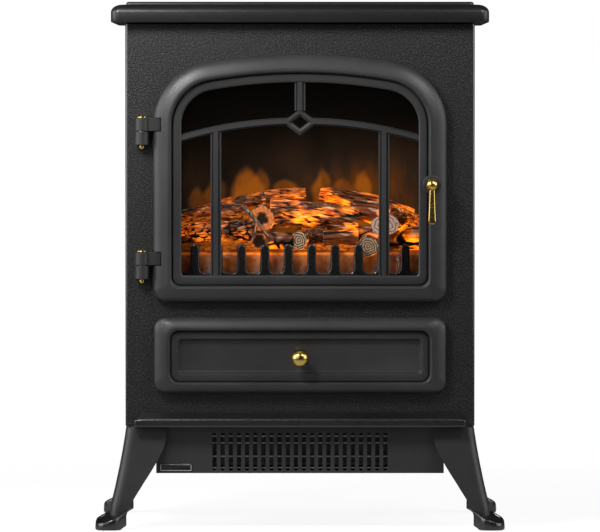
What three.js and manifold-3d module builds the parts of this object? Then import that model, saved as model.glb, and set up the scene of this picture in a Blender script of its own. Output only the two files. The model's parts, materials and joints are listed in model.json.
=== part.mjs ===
// A free-standing electric stove: a sheet-metal cabinet on four splayed legs, with an arched
// glazed door in front of a log-effect firebox, a drop-down flap over the controls and a fan
// heater under the floor. Millimetres, +X right, +Y to the back, +Z up, front face at -Y.
import * as THREE from 'three';
import { mergeVertices } from 'three/addons/utils/BufferGeometryUtils.js';
import Module from 'manifold-3d';

const wasm = await Module();
wasm.setup();

// ---- driving dimensions ------------------------------------------------------------------

const HEIGHT = 540;
const GAP = 0.3; // clearance between neighbouring pieces
const SHEET = 1.5; // cabinet sheet thickness
const THIN = 1.2; // liner and duct sheet thickness

const BODY = { halfWidth: 179, halfDepth: 108.5, bottom: 105.5, top: 517, edgeRadius: 3, fold: 18.5 };
const TOP = { halfWidth: 193.4, halfDepth: 123.5, bottom: 518.6, corner: 9, roll: 11.5, slabInset: 15.4 };
const LEDGE = { halfWidth: 170, front: -121, bottom: 104.3, lip: 112.5, top: 120.6, hip: 8 };

const DOOR = {
  halfWidth: 150,
  bottom: 232.8,
  corner: 14,
  back: -109.3,
  crownRadius: 550,
  crownCentre: -63.8,
  shoulderRadius: 65,
  shoulderX: 85,
  shoulderZ: 413.7,
};
const GLASS = { inset: 24.3, front: -112.4, back: -109.6 };
const OPENING = { inset: 28.5, corner: 3, front: -117.2, back: -112.8 };
const WINDOW_INSET = 22;

const LATTICE = {
  radius: 440,
  apex: 417.7,
  bar: 6,
  stemX: 86,
  stem: 10.5,
  back: -113.1,
  flange: -115.2,
  ridge: -117,
};
const DIAMOND = { z: 416.6, halfWidth: 18.4, halfHeight: 13.7, hollowX: 8.4, hollowZ: 6.3 };

const HINGE = {
  x: -161.7,
  y: -116,
  knuckle: 7.2,
  bore: 3.4,
  pin: 3,
  cap: 5.4,
  height: 13.3,
  reach: -142.5,
  strapFront: -118.6,
};
const HINGE_LEVELS = { upper: 407.6, lower: 270.4 }; // underside of each door knuckle

const HANDLE = {
  x: 134.8,
  y: -132,
  z: 353,
  ball: 6.25,
  spindle: 2,
  rose: 9.7,
  roseFront: -125.2,
  tip: 312.4,
};

const FLAP = { axisY: -113.2, axisZ: 142.6, bracketX: 100 };
const KNOB = { z: 175.5, y: -130.9, ball: 8.9, recess: -113.2 };

const CONTROLS = { halfWidth: 118, bottom: 150, top: 200, z: 175, floor: -97.5, dialX: 62 };
const ROCKER_X = [-84, -52, -20];
const ROCKER = { pivotY: -97.5, halfWidth: 5.6, halfHeight: 8, tilt: 10 };

const FIREBOX = { halfWidth: 136.2, bottom: 246, top: 480, front: -106.7, back: 22 };
const SCREEN = { front: -20, back: -17.6 };
const FRET = {
  pitch: 24,
  prongs: 10,
  width: 9.2,
  top: 291.5,
  root: 262,
  bottom: 249,
  rail: 121,
  front: -95,
  back: -89.5,
};
const SPINDLE = { y: 1, z: 302, radius: 2, left: -133, right: 143, blades: 9, blade: 26 };

const OUTLET = { halfWidth: 147.6, bottom: 56.6, top: 104, front: -105, back: -103.5 };
const SLOT = { count: 22, pitch: 8.35, width: 4.4, bottom: 59.1, top: 98.3 };
const DUCT = { halfWidth: 146, front: -103.2, back: -24, bottom: 57.2, top: 105.2 };
const ROTOR = { y: -58, z: 81.5, radius: 16.5, inner: 11, left: -92, right: 90, blades: 10 };

// leg corner line from the cabinet down to the toe: height, splay and arm length at each level
const LEG_LEVELS = [
  { z: 105.2, splay: 0, arm: 42.4 },
  { z: 86, splay: 2.9, arm: 42.6 },
  { z: 66, splay: 6.5, arm: 36.6 },
  { z: 44.3, splay: 11, arm: 27.6 },
  { z: 24, splay: 15.6, arm: 20 },
  { z: 10, splay: 17, arm: 16.5 },
];
const LEG = { cornerX: 178.4, cornerY: 108, wall: 2.2, toeX: 194.5, toeY: 125, toeRim: 14.7, toeFall: 0.42 };

// ---- finishes ----------------------------------------------------------------------------

const FINISH = {
  texturedBlack: { color: 0x1b1b1d, roughness: 0.62, metalness: 0.25 },
  satinBlack: { color: 0x222224, roughness: 0.45, metalness: 0.25 },
  castBlack: { color: 0x131314, roughness: 0.55, metalness: 0.3 },
  brass: { color: 0xc79a3c, roughness: 0.18, metalness: 1.0 },
  glass: { color: 0x8a7f72, roughness: 0.05, metalness: 0.0, transparent: true, opacity: 0.35 },
  liner: { color: 0x0c0c0c, roughness: 0.85, metalness: 0.1 },
  screen: { color: 0x3a1c0a, roughness: 0.5, metalness: 0.0 },
  ember: { color: 0xb5541a, roughness: 0.6, metalness: 0.0 },
  bark: { color: 0x5a3520, roughness: 0.9, metalness: 0.0 },
  steel: { color: 0x9a9c9f, roughness: 0.35, metalness: 0.9 },
  moulded: { color: 0x1a1a1a, roughness: 0.5, metalness: 0.0 },
  red: { color: 0x8d1b14, roughness: 0.4, metalness: 0.0 },
  label: { color: 0x161616, roughness: 0.4, metalness: 0.0 },
};

// ---- shape helpers -----------------------------------------------------------------------

const model = new THREE.Group();

function add(name, geometry, finish) {
  const mesh = new THREE.Mesh(geometry, new THREE.MeshStandardMaterial(FINISH[finish]));
  mesh.name = name;
  model.add(mesh);
  return mesh;
}

function solidOf(geometry) {
  const bare = geometry.clone();
  bare.deleteAttribute('normal');
  bare.deleteAttribute('uv');
  const merged = mergeVertices(bare, 1e-4);
  const corners = merged.index.array;
  const triangles = [];
  for (let i = 0; i < corners.length; i += 3) {
    const [a, b, c] = corners.slice(i, i + 3);
    if (a !== b && b !== c && c !== a) triangles.push(a, b, c);
  }
  const mesh = new wasm.Mesh({
    numProp: 3,
    vertProperties: new Float32Array(merged.attributes.position.array),
    triVerts: new Uint32Array(triangles),
  });
  return new wasm.Manifold(mesh);
}

function geometryOf(solid) {
  const mesh = solid.getMesh();
  const geometry = new THREE.BufferGeometry();
  geometry.setAttribute('position', new THREE.BufferAttribute(new Float32Array(mesh.vertProperties), 3));
  geometry.setIndex(new THREE.BufferAttribute(new Uint32Array(mesh.triVerts), 1));
  geometry.computeVertexNormals();
  return geometry;
}

function join(...geometries) {
  return geometryOf(geometries.map(solidOf).reduce((a, b) => a.add(b)));
}

function cut(base, ...tools) {
  return geometryOf(tools.map(solidOf).reduce((a, b) => a.subtract(b), solidOf(base)));
}

function box(x0, x1, y0, y1, z0, z1) {
  const geometry = new THREE.BoxGeometry(x1 - x0, y1 - y0, z1 - z0);
  return geometry.translate((x0 + x1) / 2, (y0 + y1) / 2, (z0 + z1) / 2);
}

function shapeOf(points) {
  return new THREE.Shape(points.map(([u, v]) => new THREE.Vector2(u, v)));
}

// prisms along each axis; the outline is drawn in the two other axes, in X, Y, Z order
function prismZ(shape, z0, z1, segments = 4) {
  const geometry = new THREE.ExtrudeGeometry(shape, {
    depth: z1 - z0,
    bevelEnabled: false,
    curveSegments: segments,
  });
  return geometry.translate(0, 0, z0);
}

function prismY(shape, y0, y1, segments = 4) {
  return prismZ(shape, 0, y1 - y0, segments).rotateX(Math.PI / 2).translate(0, y1, 0);
}

function prismX(shape, x0, x1, segments = 4) {
  const geometry = prismZ(shape, x0, x1, segments);
  const basis = new THREE.Matrix4().makeBasis(
    new THREE.Vector3(0, 1, 0),
    new THREE.Vector3(0, 0, 1),
    new THREE.Vector3(1, 0, 0),
  );
  return geometry.applyMatrix4(basis);
}

function cylinder(axis, radius, from, to, a, b, segments = 20) {
  const geometry = new THREE.CylinderGeometry(radius, radius, to - from, segments);
  const middle = (from + to) / 2;
  if (axis === 'x') return geometry.rotateZ(-Math.PI / 2).translate(middle, a, b);
  if (axis === 'y') return geometry.translate(a, middle, b);
  return geometry.rotateX(Math.PI / 2).translate(a, b, middle);
}

// a turned piece: profile points are [radius, distance along the axis]
function turned(axis, profile, a, b, segments = 20) {
  const climbs = THREE.ShapeUtils.area(profile.map(([r, h]) => new THREE.Vector2(r, h))) > 0;
  const ordered = climbs ? profile : [...profile].reverse();
  const geometry = new THREE.LatheGeometry(ordered.map(([r, h]) => new THREE.Vector2(r, h)), segments);
  if (axis === 'x') return geometry.rotateZ(-Math.PI / 2).translate(0, a, b);
  if (axis === 'y') return geometry.translate(a, 0, b);
  return geometry.rotateX(Math.PI / 2).translate(a, b, 0);
}

// a closed skin over rings of equal count; flat() lays a ring down to close its two ends
function loft(rings, flat, looped = false) {
  const count = rings[0].length;
  const points = rings.flat();
  const faces = [];
  const bands = looped ? rings.length : rings.length - 1;
  for (let i = 0; i < bands; i++) {
    const low = i * count;
    const high = ((i + 1) % rings.length) * count;
    for (let j = 0; j < count; j++) {
      const k = (j + 1) % count;
      faces.push([low + j, low + k, high + k], [low + j, high + k, high + j]);
    }
  }
  if (!looped) {
    faces.push(...capFaces(rings[0].map(flat), 0).map(([a, b, c]) => [c, b, a]));
    faces.push(...capFaces(rings.at(-1).map(flat), points.length - count));
  }
  const volume = faces.reduce(
    (sum, [a, b, c]) => sum + points[a].dot(points[b].clone().cross(points[c])),
    0,
  );
  const outward = volume > 0 ? faces : faces.map(([a, b, c]) => [c, b, a]);
  const geometry = new THREE.BufferGeometry().setFromPoints(points);
  geometry.setIndex(outward.flat());
  geometry.computeVertexNormals();
  return geometry;
}

function capFaces(outline, offset) {
  const turn = Math.sign(THREE.ShapeUtils.area(outline));
  return THREE.ShapeUtils.triangulateShape(outline, []).map((face) => {
    const way = Math.sign(THREE.ShapeUtils.area(face.map((i) => outline[i])));
    const ordered = way === turn ? face : [...face].reverse();
    return ordered.map((i) => i + offset);
  });
}

const onPlan = (p) => new THREE.Vector2(p.x, p.y);
const onFront = (p) => new THREE.Vector2(p.x, p.z);

function arc(cx, cy, radius, from, to, steps) {
  return Array.from({ length: steps + 1 }, (_, i) => {
    const angle = THREE.MathUtils.degToRad(from + ((to - from) * i) / steps);
    return [cx + radius * Math.cos(angle), cy + radius * Math.sin(angle)];
  });
}

function roundedRectangle(u0, u1, v0, v1, radius, steps = 4) {
  return [
    ...arc(u1 - radius, v0 + radius, radius, -90, 0, steps),
    ...arc(u1 - radius, v1 - radius, radius, 0, 90, steps),
    ...arc(u0 + radius, v1 - radius, radius, 90, 180, steps),
    ...arc(u0 + radius, v0 + radius, radius, 180, 270, steps),
  ];
}

// the door's arched outline, moved inwards: flat foot, straight sides, tight shoulders, wide crown
function archOutline(inset, foot = inset, corner = Math.max(DOOR.corner - inset, 3)) {
  const side = DOOR.halfWidth - inset;
  const floor = DOOR.bottom + foot;
  const lean = 90 - THREE.MathUtils.radToDeg(
    Math.atan2(DOOR.shoulderX, DOOR.shoulderZ - DOOR.crownCentre),
  );
  const shoulder = DOOR.shoulderRadius - inset;
  return [
    ...arc(side - corner, floor + corner, corner, -90, 0, 4),
    ...arc(DOOR.shoulderX, DOOR.shoulderZ, shoulder, 0, lean, 7),
    ...arc(0, DOOR.crownCentre, DOOR.crownRadius - inset, lean, 180 - lean, 8).slice(1, -1),
    ...arc(-DOOR.shoulderX, DOOR.shoulderZ, shoulder, 180 - lean, 180, 7),
    ...arc(-side + corner, floor + corner, corner, 180, 270, 4),
  ];
}

const frontRing = (outline, y) => outline.map(([x, z]) => new THREE.Vector3(x, y, z));
const planRing = (outline, z) => outline.map(([x, y]) => new THREE.Vector3(x, y, z));

// ---- cabinet -----------------------------------------------------------------------------

function topPlate() {
  const ring = (inset, z) => {
    const corner = Math.max(TOP.corner - inset * 0.35, 3);
    const x = TOP.halfWidth - inset;
    const y = TOP.halfDepth - inset;
    return planRing(roundedRectangle(-x, x, -y, y, corner), z);
  };
  const rollTop = HEIGHT - 3;
  const roll = [80, 60, 40, 20, 0].map((angle) => {
    const turn = THREE.MathUtils.degToRad(angle);
    return ring(TOP.roll * (1 - Math.cos(turn)), rollTop - TOP.roll * (1 - Math.sin(turn)));
  });
  return loft([
    ring(TOP.slabInset + 2.5, HEIGHT),
    ring(TOP.slabInset + 0.8, HEIGHT - 0.7),
    ring(TOP.slabInset, rollTop),
    ...roll,
    ring(0, TOP.bottom + 0.8),
    ring(0.8, TOP.bottom),
    ring(20, TOP.bottom),
    ring(20, TOP.bottom + SHEET),
    ring(SHEET, TOP.bottom + SHEET),
    ring(SHEET, rollTop - TOP.roll),
    ring(5, rollTop - 5),
    ring(TOP.slabInset, rollTop - 2.6),
    ring(TOP.slabInset + 3, HEIGHT - 3.4),
  ], onPlan);
}

function frontPanel() {
  const { halfWidth: w, halfDepth: d, edgeRadius: r, fold } = BODY;
  const inner = r - SHEET;
  const channel = shapeOf([
    [-w, fold - d],
    ...arc(-w + r, -d + r, r, 180, 270, 4),
    ...arc(w - r, -d + r, r, 270, 360, 4),
    [w, fold - d],
    [w - SHEET, fold - d],
    ...arc(w - r, -d + r, inner, 360, 270, 2),
    ...arc(-w + r, -d + r, inner, 270, 180, 2),
    [-w + SHEET, fold - d],
  ]);
  const c = CONTROLS;
  const panel = join(
    prismZ(channel, BODY.bottom, BODY.top),
    box(-w + r, w - r, -d + 0.5, fold - d - 2, BODY.top - SHEET, BODY.top),
  );
  return cut(
    panel,
    prismY(shapeOf(archOutline(WINDOW_INSET)), -d - 5, -d + 4),
    prismY(shapeOf(roundedRectangle(-c.halfWidth, c.halfWidth, c.bottom, c.top, 4)), -d - 5, -d + 4),
    box(137.7, 146.3, -d - 5, -d + 4, 379.7, 400.3),
  );
}

function sidePanel(side) {
  const { halfWidth: w, halfDepth: d, fold } = BODY;
  const front = fold - d + GAP;
  const back = d - SHEET;
  const outline = [
    [-w, front],
    [-w + SHEET, front],
    [-w + SHEET, back - SHEET],
    [-w + 15, back - SHEET],
    [-w + 15, back],
    ...arc(-w + 2, back - 2, 2, 90, 180, 3),
  ];
  const panel = join(
    prismZ(shapeOf(outline), BODY.bottom, BODY.top),
    box(-w + 0.5, -w + 18, front, back - SHEET - 1, BODY.top - SHEET, BODY.top),
  );
  return side < 0 ? panel : mirroredX(panel);
}

function mirroredX(geometry) {
  const flipped = geometry.clone().applyMatrix4(new THREE.Matrix4().makeScale(-1, 1, 1));
  const index = flipped.index.array;
  for (let i = 0; i < index.length; i += 3) [index[i], index[i + 2]] = [index[i + 2], index[i]];
  flipped.computeVertexNormals();
  return flipped;
}

function backPanel() {
  const { halfDepth: d } = BODY;
  const plate = box(-178.6, 178.6, d - THIN, d, BODY.bottom + GAP, BODY.top - GAP);
  const louvres = [];
  for (let row = 0; row < 7; row++) {
    for (const x of [-105, 25]) {
      const z = 400 + row * 13;
      louvres.push(box(x, x + 80, d - 3, d + 1, z, z + 4.5));
    }
  }
  return cut(plate, ...louvres, cylinder('y', 7.4, d - 4, d + 2, 120, 140, 16));
}

function basePlate() {
  const plate = box(-177, 177, -106.3, 105.2, BODY.bottom, BODY.bottom + SHEET);
  const vents = Array.from({ length: 8 }, (_, i) => {
    const x = -90 + i * 24;
    return box(x, x + 12, 10, 80, BODY.bottom - 1, BODY.bottom + SHEET + 1);
  });
  return cut(plate, ...vents);
}

function baseLedge() {
  const back = -BODY.halfDepth - GAP;
  const end = (x, top) =>
    [[LEDGE.front, LEDGE.bottom], [LEDGE.front, LEDGE.lip], [back, top], [back, LEDGE.bottom]].map(
      ([y, z]) => new THREE.Vector3(x, y, z),
    );
  const inner = LEDGE.halfWidth - LEDGE.hip;
  return loft([
    end(-LEDGE.halfWidth, LEDGE.lip),
    end(-inner, LEDGE.top),
    end(inner, LEDGE.top),
    end(LEDGE.halfWidth, LEDGE.lip),
  ], (p) => new THREE.Vector2(p.y, p.z));
}

// ---- legs --------------------------------------------------------------------------------

// a bent-sheet leg that splays along the diagonal, with a cast toe; built for the front left
function legFrontLeft() {
  const rings = LEG_LEVELS.map(({ z, splay, arm }) => {
    const x = -LEG.cornerX - splay;
    const y = -LEG.cornerY - splay;
    const r = 7;
    const w = LEG.wall;
    return planRing([
      ...arc(x + r, y + r, r, 180, 270, 5),
      [x + arm, y],
      [x + arm, y + w],
      ...arc(x + r, y + r, r - w, 270, 180, 3),
      [x + w, y + arm],
      [x, y + arm],
    ], z);
  });
  const plate = prismZ(
    shapeOf([[-LEG.cornerX + 3, -LEG.cornerY + 1], [-150, -LEG.cornerY + 1], [-LEG.cornerX + 1, -79]]),
    LEG_LEVELS[0].z - 2,
    LEG_LEVELS[0].z,
  );
  return join(loft(rings, onPlan), plate, toe());
}

// the toe's outline in a frame whose u axis points out along the diagonal
function toe() {
  const half = [[16, 0], [15, 5], [12.2, 9], [8.6, 12.4], [4, 14.5], [-4, 13.6], [-11.5, 12.4]];
  const outline = [...half, ...half.slice(1).reverse().map(([u, v]) => [u, -v])];
  const ring = (scale, height, heel = -Infinity) =>
    outline.map(([u, v]) => {
      const out = u > 0 ? u * scale : Math.max(u, heel);
      const across = v * scale;
      return new THREE.Vector3(
        -LEG.toeX - Math.SQRT1_2 * (out - across),
        -LEG.toeY - Math.SQRT1_2 * (out + across),
        height(u),
      );
    });
  const rim = (u) => LEG.toeRim - LEG.toeFall * u;
  return loft([
    ring(0.93, () => 0, -3),
    ring(1, (u) => (u < 0 ? 2 - 0.3 * u : 2)),
    ring(0.9, (u) => rim(u) - 1.2),
    ring(0.84, rim),
  ], onPlan);
}

function turnedCopy(geometry, flipX, flipY) {
  const leftOrRight = flipX ? mirroredX(geometry) : geometry.clone();
  return flipY ? mirroredX(leftOrRight).rotateZ(Math.PI) : leftOrRight;
}

// ---- door --------------------------------------------------------------------------------

function doorFrame() {
  const back = DOOR.back;
  // rings from the outer back edge over the half-round bevel, into the groove and down the step
  const section = [
    [0, 0, 14, back],
    [0, 0, 14, -114],
    [1.6, 1.6, 12.6, -119.2],
    [5, 5, 10, -122.6],
    [9.5, 9.5, 9, -123.9],
    [14, 13, 9, -122.8],
    [17.4, 15.6, 9, -119.8],
    [19, 16.6, 9, -116.6],
    [20.2, 18, 8, -118.4],
    [27.2, 25.4, 4, -118.4],
    [OPENING.inset, 27, OPENING.corner, OPENING.front],
    [OPENING.inset, 27, OPENING.corner, OPENING.back],
    [GLASS.inset - GAP, 23, 3, OPENING.back],
    [GLASS.inset - GAP, 23, 3, back],
  ];
  const rings = section.map(([inset, foot, corner, y]) => frontRing(archOutline(inset, foot, corner), y));
  const frame = loft(rings, onFront, true);
  const { x, z, rose, roseFront } = HANDLE;
  const root = OPENING.back - GAP;
  const roseSection = [
    [0, root],
    [rose, root],
    [rose, roseFront + 1],
    [rose - 1, roseFront],
    [0, roseFront],
  ];
  const body = join(frame, turned('y', roseSection, x, z));
  const straps = Object.values(HINGE_LEVELS).map((level) =>
    box(HINGE.x, HINGE.reach + GAP, -126, -114.7, level - GAP, level + HINGE.height + GAP),
  );
  return cut(
    body,
    ...straps,
    cylinder('y', HANDLE.spindle + 0.4, -127, back + 1, x, z, 14),
    cylinder('y', 5.6, -114, back + 1, x, z, 14),
  );
}

function doorGlass() {
  return prismY(shapeOf(archOutline(GLASS.inset, 23.3, 2.7)), GLASS.front, GLASS.back);
}

// glazing bars: each has a broad flange behind a narrow raised ridge
function doorLattice() {
  const { radius, apex, stemX, back, flange, ridge } = LATTICE;
  const centre = apex - radius;
  const archBar = (width) => {
    const from = 90 - 17.5;
    const to = 90 + 17.5;
    return shapeOf([
      ...arc(0, centre, radius + width / 2, from, to, 16),
      ...arc(0, centre, radius - width / 2, to, from, 16),
    ]);
  };
  const diamond = (grow) => {
    const x = DIAMOND.halfWidth + grow;
    const z = DIAMOND.halfHeight + grow;
    return shapeOf([[x, DIAMOND.z], [0, DIAMOND.z + z], [-x, DIAMOND.z], [0, DIAMOND.z - z]]);
  };
  const layer = (shrink, y0, y1) => {
    const stem = LATTICE.stem / 2 - shrink;
    const stemTop = centre + Math.sqrt(radius ** 2 - stemX ** 2);
    return [
      prismY(archBar(LATTICE.bar - shrink), y0, y1),
      prismY(diamond(-shrink), y0, y1),
      box(-stem, stem, y0, y1, DIAMOND.z + 4, 475),
      box(stemX - stem, stemX + stem, y0, y1, 250, stemTop),
      box(-stemX - stem, -stemX + stem, y0, y1, 250, stemTop),
    ];
  };
  const bars = join(...layer(0, flange, back), ...layer(2.4, ridge, flange + 0.5));
  const hollow = shapeOf([
    [DIAMOND.hollowX, DIAMOND.z],
    [0, DIAMOND.z + DIAMOND.hollowZ],
    [-DIAMOND.hollowX, DIAMOND.z],
    [0, DIAMOND.z - DIAMOND.hollowZ],
  ]);
  const opening = prismY(
    shapeOf(archOutline(OPENING.inset + GAP, 27 + GAP, OPENING.corner)),
    ridge - 1,
    back + 1,
  );
  return geometryOf(
    solidOf(bars).subtract(solidOf(prismY(hollow, ridge - 2, back + 2))).intersect(solidOf(opening)),
  );
}

function hingeLeaf(level) {
  const { x, y, knuckle, height, reach, bore, strapFront } = HINGE;
  return cut(
    join(
      cylinder('z', knuckle, level, level + height, x, y, 24),
      box(x + 2, reach, strapFront, -115, level, level + height),
    ),
    cylinder('z', bore, level - 1, level + height + 1, x, y, 16),
  );
}

function hingeBracket(level) {
  const { x, y, knuckle, height, bore } = HINGE;
  const top = level - 1;
  const bottom = top - height + 0.2;
  return cut(
    join(
      cylinder('z', knuckle, bottom, top, x, y, 24),
      box(x - 6, x + 6, y + 3, -BODY.halfDepth - GAP, bottom, top),
    ),
    cylinder('z', bore, bottom - 1, top + 1, x, y, 16),
  );
}

function hingePin(level) {
  const { x, y, pin, cap, height } = HINGE;
  const foot = level - 1 - height;
  const crown = level + height + GAP;
  return turned('z', [
    [0, foot - 4.6],
    [1.6, foot - 4.2],
    [2.8, foot - 2.8],
    [2.8, foot - 1.6],
    [2.2, foot - GAP],
    [pin, foot],
    [pin, crown],
    [cap, crown],
    [cap, crown + 1.2],
    [cap - 1.2, crown + 2.6],
    [cap - 3.2, crown + 3.4],
    [0, crown + 3.7],
  ], x, y, 16);
}

function doorHandle() {
  const { x, y, z, ball, spindle, tip } = HANDLE;
  const knob = new THREE.SphereGeometry(ball, 16, 10).rotateX(Math.PI / 2).translate(x, y, z);
  const ring = (height, width, depth) => {
    const w = width / 2;
    const d = depth / 2;
    return planRing(roundedRectangle(x - w, x + w, y - d, y + d, depth * 0.4, 2), height);
  };
  const lever = loft([
    ring(z, 5.6, 4),
    ring(z - 8, 6.2, 4),
    ring(tip + 8, 7.6, 3.8),
    ring(tip + 3.2, 8, 3.8),
    ring(tip + 1.2, 6.6, 3.4),
    ring(tip, 3.6, 2.6),
  ], onPlan);
  return join(knob, lever, cylinder('y', spindle, y, -110.4, x, z, 14));
}

function handleNut() {
  const { x, z, spindle } = HANDLE;
  const bore = cylinder('y', spindle + 0.35, -115, -109, x, z, 14);
  return cut(cylinder('y', 4.9, -113.5, -110.6, x, z, 6), bore);
}

// ---- control flap ------------------------------------------------------------------------

function controlFlap() {
  // half width, bottom, top, corner radius and depth of each ring, from the recess to the back
  const section = [
    [121.5, 162.2, 191.7, 2, KNOB.recess],
    [123.3, 160.4, 193.5, 3, -114.4],
    [123.6, 160.1, 193.8, 3.4, -117.4],
    [124.6, 159.1, 194.8, 4.4, -118.1],
    [131, 152.4, 201.5, 8, -118.1],
    [132.4, 151, 202.9, 9, -116.4],
    [134, 149.4, 204.5, 10, -119.6],
    [137.4, 147, 207.6, 11, -122],
    [141.5, 144.6, 211, 12, -122.7],
    [145.8, 142, 214.2, 12, -121.4],
    [148.6, 140.3, 216.1, 12, -118.2],
    [149.5, 139.8, 216.7, 12, -114],
    [149.5, 139.8, 216.7, 12, -111],
    [148.2, 141.2, 215.4, 11, DOOR.back],
    [141, 151, 209.5, 6, DOOR.back],
    [140.4, 151.6, 208.9, 6, -110.9],
  ];
  const skin = loft(
    section.map(([half, low, high, corner, y]) =>
      frontRing(roundedRectangle(-half, half, low, high, corner), y)),
    onFront,
  );
  const { axisY: y, axisZ: z, bracketX } = FLAP;
  const pockets = [-bracketX, bracketX].flatMap((x) => [
    box(x - 3.5, x + 3.5, y - 4, DOOR.back + 1, LEDGE.top, z + 4),
    cylinder('x', 1.9, x - 9, x + 9, y, z, 10),
  ]);
  return cut(skin, ...pockets);
}

// a bracket on the cabinet front that carries the flap on its own cross pin
function flapBracket(x) {
  const { axisY: y, axisZ: z } = FLAP;
  const r = 3.2;
  const cheek = shapeOf([
    [-BODY.halfDepth - GAP, z - r],
    [-BODY.halfDepth - GAP, z + r],
    ...arc(y, z, r, 90, 270, 6),
  ]);
  return join(prismX(cheek, x - 1.5, x + 1.5), cylinder('x', 1.5, x - 8, x + 8, y, z, 10));
}

function flapKnob() {
  const { y, z, ball, recess } = KNOB;
  const face = recess - GAP;
  const neck = 4.2;
  const start = Math.asin(neck / ball);
  const steps = 7;
  const dome = Array.from({ length: steps + 1 }, (_, i) => {
    const turn = start + ((Math.PI - start) * i) / steps;
    return [i === steps ? 0 : ball * Math.sin(turn), y + ball * Math.cos(turn)];
  });
  return turned('y', [[0, face], [8, face], [8, face - 1.6], [neck, face - 2.6], ...dome], 0, z, 18);
}

// ---- controls behind the flap ------------------------------------------------------------

function controlFascia() {
  const { halfWidth: w, bottom, top, floor, z, dialX } = CONTROLS;
  const tray = box(-w - 6, w + 6, FIREBOX.front, floor + 1.5, bottom - 6, top + 6);
  const hollow = box(-w - 1, w + 1, FIREBOX.front - 1, floor, bottom - 1, top + 1);
  const cutouts = ROCKER_X.map((x) => box(x - 8, x + 8, floor - 2, floor + 3, z - 11.4, z + 11.4));
  return cut(tray, hollow, ...cutouts, cylinder('y', 3.6, floor - 2, floor + 3, dialX, z, 14));
}

function switchBody(x) {
  const { z, floor } = CONTROLS;
  const { pivotY } = ROCKER;
  return cut(
    join(
      box(x - 9.6, x + 9.6, floor - 1.6, floor - GAP, z - 13, z + 13),
      box(x - 7.6, x + 7.6, floor - 1, -80, z - 11, z + 11),
    ),
    box(x - 6, x + 6, floor - 3, -89, z - 9.1, z + 9.1),
    cylinder('x', 1.5, x - 7, x + 7, pivotY, z, 10),
  );
}

// a shallow V-faced key that rocks on two stub pins; at rest its upper half stands proud
function rocker(x) {
  const { pivotY, halfWidth, halfHeight: h, tilt } = ROCKER;
  const key = join(
    prismX(shapeOf([[-5, -h], [-3.4, 0], [-5, h], [2.6, h - 0.6], [2.6, -h + 0.6]]), -halfWidth, halfWidth),
    cylinder('x', 1.2, -6.8, 6.8, 0, 0, 10),
  );
  return key.rotateX(THREE.MathUtils.degToRad(tilt)).translate(x, pivotY, CONTROLS.z);
}

function thermostatBody() {
  const { dialX, z, floor } = CONTROLS;
  return cut(
    turned('y', [[0, -80], [13, -80], [14, -81], [14, floor + 1.5 + GAP], [0, floor + 1.5 + GAP]], dialX, z),
    cylinder('y', 3.35, floor, -84, dialX, z, 14),
  );
}

function thermostatDial() {
  const { dialX, z, floor } = CONTROLS;
  const face = floor - 7.6;
  const foot = floor - 0.5;
  const section = [[0, foot], [13, foot], [13, foot - 1.6], [10.6, face + 1], [9.6, face], [0, face]];
  const knob = turned('y', section, dialX, z, 20);
  const grip = box(dialX - 1.6, dialX + 1.6, face - 1.8, face + 2, z - 9.4, z + 9.4);
  return join(knob, grip, cylinder('y', 3, foot - 1, -85, dialX, z, 14));
}

// ---- firebox -----------------------------------------------------------------------------

function fireboxLiner() {
  const { halfWidth: w, bottom, top, front, back } = FIREBOX;
  return cut(
    box(-w, w, front, back, bottom, top),
    box(-w + THIN, w - THIN, front - 1, back - THIN, bottom + THIN, top - THIN),
    cylinder('x', 4, w - 3, w + 1, SPINDLE.y, SPINDLE.z, 14),
  );
}

function flameScreen() {
  const { halfWidth: w, bottom, top } = FIREBOX;
  const edge = THIN + GAP;
  return box(-w + edge, w - edge, SCREEN.front, SCREEN.back, bottom + edge, top - edge);
}

const BED = { halfWidth: 126, floor: FIREBOX.bottom + THIN + GAP, back: -22 };

// the crowned ember moulding, with a channel underneath for the light strip
function emberBed(grow = 0) {
  const { halfWidth: w, floor, back } = BED;
  const outline = [
    [-87 - grow, floor],
    [-87 - grow, 257],
    [-83 - grow, 270 + grow],
    [-79 - grow, 279 + grow],
    [-70, 285 + grow],
    [-52, 288 + grow],
    [-36, 291 + grow],
    [back, 297 + grow],
    [back, floor],
    [-42, floor],
    [-42, 262],
    [-66, 262],
    [-66, floor],
  ];
  return prismX(shapeOf(outline), -w, w);
}

function ledStrip() {
  return box(-112, 112, -62, -46, BED.floor, BED.floor + 2.4);
}

// a comb of round-topped prongs on a rail, standing in front of the embers
function grateFret() {
  const { pitch, prongs, width, top, root, bottom, rail, front, back } = FRET;
  const half = width / 2;
  const crown = top - half;
  const outline = [[-rail, bottom], [rail, bottom], [rail, root]];
  for (let i = prongs - 1; i >= 0; i--) {
    const x = (i - (prongs - 1) / 2) * pitch;
    outline.push([x + half + 3.4, root], [x + half + 0.9, root + 3], [x + half, root + 7]);
    outline.push(...arc(x, crown, half, 0, 180, 6));
    outline.push([x - half, root + 7], [x - half - 0.9, root + 3], [x - half - 3.4, root]);
  }
  outline.push([-rail, root]);
  return prismY(shapeOf(outline), front, back);
}

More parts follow.
